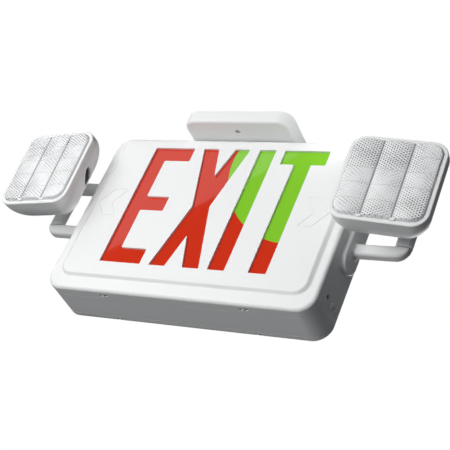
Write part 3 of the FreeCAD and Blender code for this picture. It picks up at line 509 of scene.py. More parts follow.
def loft(loops: Sequence[Loop], closed: bool = False) -> Mesh:
    """Bridge loops of equal length into a mesh.

    Args:
        loops: Loops in order.
        closed: True joins the last loop to the first, False caps both ends.

    Returns:
        A closed mesh with its faces outwards.
    """
    form = bmesh.new()
    rows = [[form.verts.new(point) for point in loop] for loop in loops]
    pairs = list(zip(rows, rows[1:])) + ([(rows[-1], rows[0])] if closed else [])
    for near, far in pairs:
        for index in range(len(near)):
            after = (index + 1) % len(near)
            form.faces.new((near[index], near[after], far[after], far[index]))
    if not closed:
        form.faces.new(list(reversed(rows[0])))
        form.faces.new(rows[-1])
    bmesh.ops.remove_doubles(form, verts=form.verts, dist=1e-7)
    bmesh.ops.recalc_face_normals(form, faces=form.faces)
    if form.calc_volume(signed=True) < 0:
        bmesh.ops.reverse_faces(form, faces=form.faces)
    mesh = bpy.data.meshes.new("loft")
    form.to_mesh(mesh)
    form.free()
    return mesh


def prism(outline: Sequence[Point], y_from: float, y_to: float) -> Mesh:
    """Straight prism of an XZ outline from one plane along Y to another."""
    return loft([[Vector((x, y, z)) for x, z in outline] for y in (y_from, y_to)])


def box(low: Sequence[float], high: Sequence[float]) -> Mesh:
    """Box between its lowest and its highest corner."""
    outline = ((low[0], low[2]), (high[0], low[2]), (high[0], high[2]), (low[0], high[2]))
    return prism(outline, low[1], high[1])


def drum(radius: float, start: Vector, end: Vector, steps: int = 40) -> Mesh:
    """Cylinder from one point to another.

    Args:
        radius: Its radius.
        start: Middle of one end.
        end: Middle of the other end.
        steps: Segments round it.

    Returns:
        The cylinder.
    """
    turn = (end - start).to_track_quat("Z", "Y").to_matrix()
    angles = [2 * math.pi * step / steps for step in range(steps)]
    ring = [turn @ Vector((radius * math.cos(angle), radius * math.sin(angle), 0)) for angle in angles]
    return loft([[middle + point for point in ring] for middle in (start, end)])


def joined(name: str, meshes: Iterable[Mesh]) -> Mesh:
    """One mesh that holds several closed shells.

    Args:
        name: Name of the mesh.
        meshes: The shells.

    Returns:
        The mesh.
    """
    form = bmesh.new()
    for mesh in meshes:
        form.from_mesh(mesh)
    whole = bpy.data.meshes.new(name)
    form.to_mesh(whole)
    form.free()
    return whole


def as_object(name: str, mesh: Mesh) -> Piece:
    """Link a mesh to the scene as an object at the origin.

    Args:
        name: Name of the object.
        mesh: Its mesh.

    Returns:
        The object.
    """
    piece = bpy.data.objects.new(name, mesh)
    bpy.context.scene.collection.objects.link(piece)
    return piece


def bake(piece: Piece) -> Piece:
    """Turn an object's modifiers into its plain mesh.

    Args:
        piece: The object.

    Returns:
        The same object, without modifiers.
    """
    bpy.context.view_layer.update()
    graph = bpy.context.evaluated_depsgraph_get()
    mesh = bpy.data.meshes.new_from_object(piece.evaluated_get(graph))
    piece.modifiers.clear()
    piece.data = mesh
    return piece


def combine(piece: Piece, tools: Iterable[Mesh], operation: str = "DIFFERENCE") -> Piece:
    """Cut meshes from an object, or fuse them with it.

    Args:
        piece: The object that is changed.
        tools: Meshes to cut or fuse.
        operation: DIFFERENCE or UNION.

    Returns:
        The changed object.
    """
    helpers = []
    for index, mesh in enumerate(tools):
        helper = as_object(f"tool_{index}", mesh)
        helpers.append(helper)
        modifier = piece.modifiers.new("combine", "BOOLEAN")
        modifier.object = helper
        modifier.operation = operation
        modifier.solver = "EXACT"
    bake(piece)
    for helper in helpers:
        bpy.data.objects.remove(helper)
    return piece


def rounded_edges(piece: Piece, width: float, angle: float, segments: int) -> Piece:
    """Round the sharp edges of an object.

    Args:
        piece: The object.
        width: Width of the round.
        angle: Least angle of an edge that is rounded, in degrees.
        segments: Flats in each round.

    Returns:
        The same object with the round in its mesh.
    """
    modifier = piece.modifiers.new("edges", "BEVEL")
    modifier.width = width
    modifier.segments = segments
    modifier.limit_method = "ANGLE"
    modifier.angle_limit = math.radians(angle)
    modifier.harden_normals = False
    return bake(piece)


def cleaned_copy(node: str, name: str) -> Piece:
    """Copy of a CAD node with its seams joined and its flat faces made whole.

    Args:
        node: The CAD node.
        name: Name of the copy.

    Returns:
        The copy.
    """
    form = bmesh.new()
    form.from_mesh(frame["nodes"][node].data)
    bmesh.ops.remove_doubles(form, verts=form.verts, dist=0.002 * MM)
    bmesh.ops.dissolve_limit(form, angle_limit=math.radians(0.6), verts=form.verts, edges=form.edges)
    mesh = bpy.data.meshes.new(name)
    form.to_mesh(mesh)
    form.free()
    return as_object(name, mesh)


def finish_piece(piece: Piece, material: Material, body: str, node: str,
                 angle: float = 32.0) -> None:
    """Shade and paint a finished piece, hang it on its body and hide the CAD node it stands for.

    Args:
        piece: The object.
        material: Its material.
        body: The CAD body it rides.
        node: The CAD node that it stands for.
        angle: Least angle of an edge that stays sharp.
    """
    piece.data.shade_smooth()
    piece.data.set_sharp_from_angle(angle=math.radians(angle))
    modifier = piece.modifiers.new("even_shading", "WEIGHTED_NORMAL")
    modifier.keep_sharp = True
    bake(piece)
    form = bmesh.new()
    form.from_mesh(piece.data)
    if form.calc_volume(signed=True) <= 0:
        LOG.warning("%s: turned inside out", piece.name)
    form.free()
    piece.data.materials.clear()
    piece.data.materials.append(material)
    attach(piece, body)
    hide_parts(node)
    LOG.info("%s: %d faces on %s", piece.name, len(piece.data.polygons), body)


def paint_nodes(material: Material, *nodes: str) -> None:
    """Give CAD nodes a material.

    Args:
        material: The material.
        nodes: Names of the nodes.
    """
    for node in nodes:
        target = frame["nodes"][node]
        target.data.materials.clear()
        target.data.materials.append(material)
        LOG.info("%s: painted %s", node, material.name)


# ---------------------------------------------------------------- housing
@dataclass(frozen=True)
class Latches:
    """Paired latch windows in a lower wall, each with a sloping finger behind it."""

    depth: float
    floor: float
    pair_at: float = 80 * MM
    apart: float = 2.9 * MM
    half_width: float = 1.9 * MM
    half_depth: float = 1.5 * MM
    reach: float = 3.4 * MM
    finger: Point = (0.5 * MM, 1.6 * MM)
    finger_near: float = 0.5 * MM
    finger_rise: Point = (0.1 * MM, 2.1 * MM)

    def _spots(self) -> List[Vector]:
        """Middles of the windows on the wall's outer face."""
        return [Vector((pair + side, self.depth, self.floor)) for pair in (-self.pair_at, self.pair_at)
                for side in (-self.apart, self.apart)]

    def _finger(self, spot: Vector) -> Mesh:
        """Sloping finger behind the window at a spot.

        Args:
            spot: Middle of the window.

        Returns:
            The finger.
        """
        far, near = spot.y + self.half_depth, spot.y - self.finger_near
        low, high = spot.z + self.finger_rise[0], spot.z + self.finger_rise[1]
        return loft([[Vector((spot.x + x, far, low)), Vector((spot.x + x, far, high)),
                      Vector((spot.x + x, near, high))] for x in self.finger])

    def cut(self, piece: Piece, others: Sequence[Mesh] = ()) -> None:
        """Cut the windows in a cover and put the fingers behind them.

        Args:
            piece: The cover.
            others: Whatever else is cut in the same step, first.
        """
        half = Vector((self.half_width, self.half_depth, 0))
        windows = [box(spot - half - Vector((0, 0, MM)), spot + half + Vector((0, 0, self.reach)))
                   for spot in self._spots()]
        combine(piece, list(others) + windows)
        piece.data = joined(piece.name, [piece.data] + [self._finger(spot) for spot in self._spots()])


@dataclass
class Letters:
    """Outlines of the four legend letters and the two direction knock-outs."""

    left: float = -97.2 * MM
    base: float = -184.7 * MM
    height: float = 152.4 * MM
    corner: float = 1.2 * MM
    corner_pull: float = 0.3

    def _shift(self, points: Sequence[Point]) -> List[Point]:
        """Move points given in millimetres from the first letter's foot to the frame."""
        return [(self.left + x * MM, self.base + z * MM) for x, z in points]

    def _soft(self, points: Sequence[Point]) -> List[Point]:
        """Round an outline's corners with a small radius.

        Args:
            points: Corner points in metres.

        Returns:
            The outline with three points at each corner.
        """
        result = []
        count = len(points)
        for index in range(count):
            here = Vector(points[index])
            before = (Vector(points[index - 1]) - here).normalized() * self.corner
            after = (Vector(points[(index + 1) % count]) - here).normalized() * self.corner
            middle = here + (before + after) * self.corner_pull
            result += [tuple(here + before), tuple(middle), tuple(here + after)]
        return result

    def outlines(self) -> List[List[Point]]:
        """Outlines of E, X, I and T in the frame's XZ plane.

        Returns:
            One outline a letter, its corners softened.
        """
        top = self.height / MM
        letter_e = [(0, 0), (49.1, 0), (49.1, 18.7), (18.5, 18.7), (18.5, 67.3), (46.0, 67.3), (46.0, 85.75),
                    (18.5, 85.75), (18.5, 134.3), (49.1, 134.3), (49.1, top), (0, top)]
        letter_x = [(59.6, 0), (78.5, 0), (88.0, 38.6), (98.9, 0), (117.6, 0), (98.4, 76), (115.9, top),
                    (98.2, top), (87.6, 115.8), (78.4, top), (60.2, top), (78.1, 76)]
        letter_i = [(127.1, 0), (146.0, 0), (146.0, top), (127.1, top)]
        letter_t = [(172.0, 0), (191.1, 0), (191.1, 133.9), (206.7, 133.9), (206.7, top), (156.1, top),
                    (156.1, 133.9), (172.0, 133.9)]
        return [self._soft(self._shift(points)) for points in (letter_e, letter_x, letter_i, letter_t)]

    def chevrons(self, inset: float = 0.0) -> List[List[Point]]:
        """Outlines of the two direction knock-outs.

        Args:
            inset: How far the outline is drawn in, in millimetres.

        Returns:
            The left and the right outline.
        """
        tip, back, arm, low, mid, high = 232.4, 202.0, 17.0, 57.5, 75.5, 93.5
        heel, toe = back + 1.6 * inset, back + arm - 1.2 * inset
        right = [(heel, low + inset), (toe, low + inset), (tip - 1.8 * inset, mid), (toe, high - inset),
                 (heel, high - inset), (tip - arm + 0.4 * inset, mid)]
        middle = -self.left / MM
        left = [(2 * middle - x, z) for x, z in reversed(right)]
        return [self._shift(left), self._shift(right)]


@dataclass
class FaceCover:
    """Stencil face cover: raised panel, soft step, rounded rim and skirt."""

    paints: Paints
    wall: float = 2.2 * MM
    rim_round: float = 3.6 * MM
    corner: float = 18.0 * MM
    raise_height: float = 3.0 * MM
    side_margin: float = 13.2 * MM
    top_margin: float = 5.6 * MM
    bottom_margin: float = 17.0 * MM
    panel_corner: float = 12.0 * MM
    side_slope: float = 3.4 * MM
    side_span: Point = (1.25, 1.6)
    end_slope: float = 1.3 * MM
    end_span: Point = (1.5, 2.6)
    slope_steps: int = 12
    latch_setback: float = 5.2 * MM
    groove_width: float = 1.2
    groove_depth: float = 0.5 * MM
    letters: Letters = field(default_factory=Letters)

    def __post_init__(self) -> None:
        """Read the cover's box from the frame."""
        low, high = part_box("face_cover")
        self.width = high[0] - low[0]
        self.height = high[2] - low[2]
        self.front = low[1]
        self.end = high[1]
        self.middle = (high[2] + low[2]) / 2

    def _skin(self, inset: float) -> List[Loop]:
        """Loops of the outer or inner skin, from the skirt's edge to the panel.

        Args:
            inset: Distance in from the outer skin.

        Returns:
            The loops.
        """
        front = self.front + inset
        rim = front + self.raise_height
        loops = [rounded_loop(self.width - 2 * inset, self.height - 2 * inset, self.corner - inset,
                              self.end, self.middle)]
        bend = self.rim_round - inset
        for drawn, left in quarter(6):
            draw = inset + bend * drawn
            loops.append(rounded_loop(self.width - 2 * draw, self.height - 2 * draw, self.corner - draw,
                                      rim + bend * left, self.middle))
        width = self.width - 2 * self.side_margin
        height = self.height - self.top_margin - self.bottom_margin
        middle = self.middle + (self.bottom_margin - self.top_margin) / 2
        for step in range(self.slope_steps + 1):
            along = step / self.slope_steps
            eased = along * along * (3 - 2 * along)
            side = self.side_slope * (self.side_span[0] - self.side_span[1] * along) - inset
            end = self.end_slope * (self.end_span[0] - self.end_span[1] * along) - inset
            loops.append(rounded_loop(width + 2 * side, height + 2 * end, self.panel_corner + side,
                                      rim - self.raise_height * eased, middle))
        return loops

    def _groove(self, big: Sequence[Point], small: Sequence[Point]) -> Mesh:
        """Cutter for a knock-out's outline.

        Args:
            big: Its outer outline.
            small: Its inner outline.

        Returns:
            The cutter.
        """
        ring = as_object("ring", prism(big, self.front - MM, self.front + self.groove_depth))
        combine(ring, [prism(small, self.front - 2 * MM, self.front + MM)])
        mesh = ring.data
        bpy.data.objects.remove(ring)
        return mesh

    def build(self) -> None:
        """Build the cover and put it in place of its CAD node."""
        piece = as_object("face_stencil", loft(list(reversed(self._skin(0.0))) + self._skin(self.wall)))
        near, far = self.front - MM, self.front + 2 * self.wall
        tools = [prism(points, near, far) for points in self.letters.outlines()]
        outer, inner = self.letters.chevrons(), self.letters.chevrons(self.groove_width)
        tools += [self._groove(big, small) for big, small in zip(outer, inner)]
        Latches(self.end - self.latch_setback, self.middle - self.height / 2).cut(piece, tools)
        finish_piece(piece, self.paints.white, "housing", "face_cover", 28.0)


@dataclass
class Housing:
    """Frame ring, back cover, light chamber and what hangs inside."""

    paints: Paints
    shoulder: float = 0.55 * MM
    latch_setback: float = 2.5 * MM

    def build(self) -> None:
        """Build and dress every housing piece."""
        paints = self.paints
        FaceCover(paints).build()
        ring = rounded_edges(cleaned_copy("housing_frame", "frame_ring"), self.shoulder, 60.0, 2)
        finish_piece(ring, paints.white, "housing", "housing_frame")
        back = cleaned_copy("back_cover", "rear_cover")
        low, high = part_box("back_cover")
        Latches(high[1] - self.latch_setback, low[2]).cut(back)
        finish_piece(back, paints.white, "housing", "back_cover")
        paint_nodes(paints.legend, "legend_panel")
        paint_nodes(paints.opal, "diffuser_sheet", "light_tray")
        paint_nodes(paints.board, "legend_led_board_top", "legend_led_board_bottom", "charger_board")
        paint_nodes(paints.wrap, "battery_pack")
        paint_nodes(paints.steel, "battery_clip", "bracket_screws")
        paint_nodes(paints.component, "transformer", "transfer_relay", "terminal_block", "capacitors")


@dataclass
class Canopy:
    """Ceiling canopy with its plate, screws, spacer and nipple."""

    paints: Paints
    corner: float = 13.0 * MM
    bend: float = 3.0 * MM
    wall: float = 2.2 * MM
    screw_well: float = 3.1 * MM
    well_depth: float = 4 * MM
    screw_spacing: float = 35.0 * MM
    pilot: float = 1.95 * MM
    post_half: float = 5.5 * MM
    post_top: float = -1.6 * MM
    nipple_hole: float = 5.05 * MM

    def _loop(self, draw: float, level: float) -> Loop:
        """Level outline of the canopy.

        Args:
            draw: Distance in from the widest outline.
            level: Its height.

        Returns:
            The loop.
        """
        low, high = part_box("canopy")
        flat = rounded_loop(high[0] - low[0] - 2 * draw, high[1] - low[1] - 2 * draw, self.corner - draw)
        return [Vector((point.x, point.z, level)) for point in flat]

    def build(self) -> None:
        """Build and dress the canopy."""
        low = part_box("canopy")[0][2]
        loops = [self._loop(0.0, 0.0)]
        loops += [self._loop(self.bend * drawn, low + self.bend * left) for drawn, left in quarter(8)]
        piece = as_object("canopy_cover", loft(loops))
        combine(piece, [loft([self._loop(self.wall, low + self.wall), self._loop(self.wall, MM)])])
        posts, holes = [], []
        for spot in (-self.screw_spacing, self.screw_spacing):
            foot = Vector((0, spot, low + self.wall / 2))
            posts.append(box((-self.post_half, spot - self.post_half, foot.z),
                             (self.post_half, spot + self.post_half, self.post_top)))
            floor = Vector((0, spot, low + self.well_depth))
            holes.append(drum(self.screw_well, foot - Vector((0, 0, 5 * MM)), floor))
            holes.append(drum(self.pilot, foot, Vector((0, spot, self.post_top + MM))))
        holes.append(drum(self.nipple_hole, Vector((0, 0, low - MM)), Vector((0, 0, low + 2 * self.wall))))
        combine(combine(piece, posts, "UNION"), holes)
        finish_piece(piece, self.paints.white, "housing", "canopy")
        paint_nodes(self.paints.steel, "mounting_plate", "canopy_screws", "nipple", "nipple_nuts")
        paint_nodes(self.paints.white, "neck_spacer")


@dataclass
class Controls:
    """Test button, its switch and the charge indicator on the right wall."""

    paints: Paints
    button_edge: float = 0.2 * MM

    def build(self) -> None:
        """Build and dress the controls."""
        button = rounded_edges(cleaned_copy("test_button", "button_cap"), self.button_edge, 30.0, 2)
        finish_piece(button, self.paints.button, "test_button", "test_button")
        switch = cleaned_copy("test_switch", "switch_bezel")
        finish_piece(switch, self.paints.bezel, "housing", "test_switch")
        lamp = cleaned_copy("indicator_led", "charge_indicator")
        finish_piece(lamp, self.paints.indicator, "housing", "indicator_led")


# ---------------------------------------------------------------- forks
@dataclass
class Fork:
    """Fork bracket, pan pin and swivel knuckle on one side."""

    paints: Paints
    side: Side
    pad_thickness: float = 5.0 * MM
    pad_width: float = 29.6 * MM
    pad_height: float = 111.0 * MM
    pad_round: float = 2.0 * MM
    pad_flat: float = 0.05 * MM
    arm_depth: float = 11.0 * MM
    arm_height: float = 13.0 * MM
    arm_spacing: float = 59.8 * MM
    arm_thin: float = 0.35
    tip_height: float = 1.2 * MM
    end_round: float = 12.4 * MM
    edge_round: float = 3.4 * MM
    edge_share: float = 0.46
    root_flare: float = 1.6 * MM
    flare_run: float = 1.2
    knuckle_edge: float = 0.7 * MM

    def _pad(self, wall: float, depth: float, middle: float) -> Mesh:
        """Oval pad with a rounded outer edge, for the right-hand side.

        Args:
            wall: Place of the housing's side wall.
            depth: Middle of the pad along Y.
            middle: Middle height of the pad.

        Returns:
            The pad.
        """
        loops = []
        stations = [(0.0, 0.0)] + [(self.pad_round * drawn, self.pad_thickness - self.pad_round * left)
                                   for drawn, left in quarter(6)]
        for draw, level in stations:
            flat = rounded_loop(self.pad_width - 2 * draw, self.pad_height - 2 * draw,
                                self.pad_width / 2 - draw - self.pad_flat, steps=16)
            loops.append([Vector((wall + level, depth + point.x, middle + point.z)) for point in flat])
        return loft(loops)

    def _arm(self, level: int, root: float, tip: float, depth: float, middle: float) -> Mesh:
        """One rounded arm with a flared root and a rounded outer corner, for the right-hand side.

        Args:
            level: 1 for the upper arm, -1 for the lower.
            root: Where it starts along X.
            tip: Where it ends along X.
            depth: Middle of the arm along Y.
            middle: Middle height of the fork.

        Returns:
            The arm.
        """
        inner = middle + level * (self.arm_spacing - self.arm_height) / 2
        face = root + self.pad_thickness / 2
        run = self.root_flare * self.flare_run
        stations = [(root, self.root_flare, 0.0)]
        stations += [(face + run * (1 - left), self.root_flare * left, 0.0) for _, left in quarter(5)]
        stations += [(tip - self.end_round * left, 0.0, self.end_round * drawn) for drawn, left in quarter(14)]
        loops = []
        for x, flare, drop in stations:
            drop = min(drop, self.arm_height - self.tip_height)
            height = self.arm_height - drop + 2 * flare
            width = self.arm_depth + 2 * flare - self.arm_thin * drop
            centre = inner + level * (self.arm_height - drop) / 2
            section = rounded_loop(width, height, min(self.edge_round, self.edge_share * height), steps=6)
            loops.append([Vector((x, depth + point.x, centre + point.z)) for point in section])
        return loft(loops)

    def build(self) -> None:
        """Build and dress the fork and the swivel."""
        low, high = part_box("fork_bracket_right")
        depth = (low[1] + high[1]) / 2
        middle = (low[2] + high[2]) / 2
        root = low[0] + self.pad_thickness / 2
        arms = [self._arm(level, root, high[0], depth, middle) for level in (-1, 1)]
        fork = as_object(self.side.node("fork"), joined("fork", [self._pad(low[0], depth, middle)] + arms))
        self.side.stand(fork, self.side.flip())
        finish_piece(fork, self.paints.white, "housing", self.side.node("fork_bracket"))
        knuckle = cleaned_copy(self.side.node("knuckle"), self.side.node("swivel_block"))
        rounded_edges(knuckle, self.knuckle_edge, 30.0, 3)
        finish_piece(knuckle, self.paints.white, self.side.node("swivel"), self.side.node("knuckle"))
        paint_nodes(self.paints.steel, self.side.node("pan_pin"))


# ---------------------------------------------------------------- lamp heads
@dataclass
class LensTree:
    """Geometry Nodes tree of the prismatic lens: bulging columns covered in small pillows."""

    size: float
    corner: float
    material: Material
    crown: float = 2.3 * MM
    step: float = 3.8 * MM
    columns: int = 3
    pillow: float = PILLOW
    pillow_rise: float = 0.3 * MM
    border: float = 0.7 * MM
    fade_run: float = 2.0 * MM
    step_run: float = 0.9 * MM
    grid_points: int = 185

    def __post_init__(self) -> None:
        """Start the tree with its named inputs."""
        self.tree = bpy.data.node_groups.new("prismatic_lens", "GeometryNodeTree")
        self.tree.interface.new_socket("Geometry", in_out="INPUT", socket_type="NodeSocketGeometry")
        for name, value in (("Size", self.size), ("Crown", self.crown), ("Pitch", self.size / self.columns),
                            ("Pillow", self.pillow), ("Rise", self.pillow_rise), ("Corner", self.corner),
                            ("Step", self.step)):
            socket = self.tree.interface.new_socket(name, in_out="INPUT", socket_type="NodeSocketFloat")
            socket.default_value = value
        self.tree.interface.new_socket("Geometry", in_out="OUTPUT", socket_type="NodeSocketGeometry")
        self.given = self.tree.nodes.new("NodeGroupInput").outputs

    def _calc(self, operation: str, first: object, second: object = 0.0) -> Socket:
        """Result of one math node on two sockets or numbers.

        Args:
            operation: What the node does.
            first: Its first input.
            second: Its second input.

        Returns:
            The result's socket.
        """
        node = self.tree.nodes.new("ShaderNodeMath")
        node.operation = operation
        for socket, value in zip(node.inputs, (first, second)):
            if isinstance(value, Socket):
                self.tree.links.new(value, socket)
            else:
                socket.default_value = value
        return node.outputs[0]

    def _held(self, inside: Socket, run: float) -> Socket:
        """Share that grows from 0 at the border to 1 a run further in."""
        share = self._calc("DIVIDE", self._calc("SUBTRACT", inside, self.border), run)
        return self._calc("MINIMUM", self._calc("MAXIMUM", share, 0.0), 1.0)

    def _inside(self, across: Socket, up: Socket) -> Socket:
        """Distance in from the rounded outline.

        Args:
            across: Place across the lens.
            up: Place up the lens.

        Returns:
            The distance's socket.
        """
        calc, corner = self._calc, self.given["Corner"]
        half = calc("SUBTRACT", calc("MULTIPLY", self.given["Size"], 0.5), corner)
        over = [calc("MAXIMUM", calc("SUBTRACT", calc("ABSOLUTE", part), half), 0.0) for part in (across, up)]
        square = calc("ADD", *[calc("MULTIPLY", part, part) for part in over])
        return calc("SUBTRACT", corner, calc("SQRT", square))

    def _relief(self, across: Socket, up: Socket) -> Socket:
        """Height of the bulging columns and the pillows on them.

        Args:
            across: Place across the lens.
            up: Place up the lens.

        Returns:
            The height's socket.
        """
        calc, given = self._calc, self.given
        turns = calc("ADD", calc("DIVIDE", across, given["Pitch"]), 10.5)
        phase = calc("SUBTRACT", calc("FRACT", turns), 0.5)
        bulge = calc("SUBTRACT", 1.0, calc("POWER", calc("MULTIPLY", calc("ABSOLUTE", phase), 2.0), 2.0))
        pace = calc("DIVIDE", 4 * math.pi / math.sqrt(3), given["Pillow"])
        waves = 0.0
        for degrees in (0.0, 60.0, 120.0):
            turn = math.radians(degrees)
            way = calc("ADD", calc("MULTIPLY", across, math.cos(turn)), calc("MULTIPLY", up, math.sin(turn)))
            waves = calc("ADD", waves, calc("COSINE", calc("MULTIPLY", way, pace)))
        pillows = calc("MULTIPLY", calc("DIVIDE", calc("SUBTRACT", 3.0, waves), 4.5), given["Rise"])
        return calc("ADD", calc("MULTIPLY", bulge, given["Crown"]), pillows)

    def _vector(self, *parts: object) -> Socket:
        """Vector of sockets or numbers.

        Args:
            parts: Its parts along X, Y and Z.

        Returns:
            The vector's socket.
        """
        node = self.tree.nodes.new("ShaderNodeCombineXYZ")
        for socket, value in zip(node.inputs, parts):
            if isinstance(value, Socket):
                self.tree.links.new(value, socket)
            else:
                socket.default_value = value
        return node.outputs[0]

    def _chain(self, geometry: Socket, kind: str, inputs: Sequence[Tuple[str, object]] = ()) -> Socket:
        """Pass the geometry through one node.

        Args:
            geometry: Geometry so far.
            kind: Type of the node.
            inputs: Names of its other inputs, with sockets or values.

        Returns:
            The geometry that comes out.
        """
        node = self.tree.nodes.new(kind)
        if kind == "GeometryNodeStoreNamedAttribute":
            node.data_type = "FLOAT_VECTOR"
        self.tree.links.new(geometry, node.inputs["Geometry"])
        for name, value in inputs:
            if isinstance(value, Socket):
                self.tree.links.new(value, node.inputs[name])
            else:
                node.inputs[name].default_value = value
        return node.outputs[0]

    def build(self) -> bpy.types.GeometryNodeTree:
        """Build the tree.

        Returns:
            The node group, with its sizes as named inputs.
        """
        calc = self._calc
        grid = self.tree.nodes.new("GeometryNodeMeshGrid")
        for name in ("X", "Y"):
            self.tree.links.new(self.given["Size"], grid.inputs[f"Size {name}"])
            grid.inputs[f"Vertices {name}"].default_value = self.grid_points
        parts = self.tree.nodes.new("ShaderNodeSeparateXYZ")
        self.tree.links.new(self.tree.nodes.new("GeometryNodeInputPosition").outputs[0], parts.inputs[0])
        across, up = parts.outputs[:2]
        inside = self._inside(across, up)
        soft = calc("SINE", calc("MULTIPLY", self._held(inside, self.fade_run), math.pi / 2))
        wall = calc("MULTIPLY", self._held(inside, self.step_run), self.given["Step"])
        height = calc("ADD", calc("MULTIPLY", self._relief(across, up), soft), wall)
        shape = self._chain(grid.outputs["Mesh"], "GeometryNodeStoreNamedAttribute",
                            (("Name", "lens_place"), ("Value", self._vector(across, up, soft))))
        shape = self._chain(shape, "GeometryNodeSetPosition", (("Offset", self._vector(0.0, 0.0, height)),))
        outside = calc("LESS_THAN", inside, 0.0)
        shape = self._chain(shape, "GeometryNodeDeleteGeometry", (("Selection", outside),))
        shape = self._chain(shape, "GeometryNodeRealizeInstances")
        shape = self._chain(shape, "GeometryNodeSetMaterial", (("Material", self.material),))
        self.tree.links.new(shape, self.tree.nodes.new("NodeGroupOutput").inputs[0])
        return self.tree


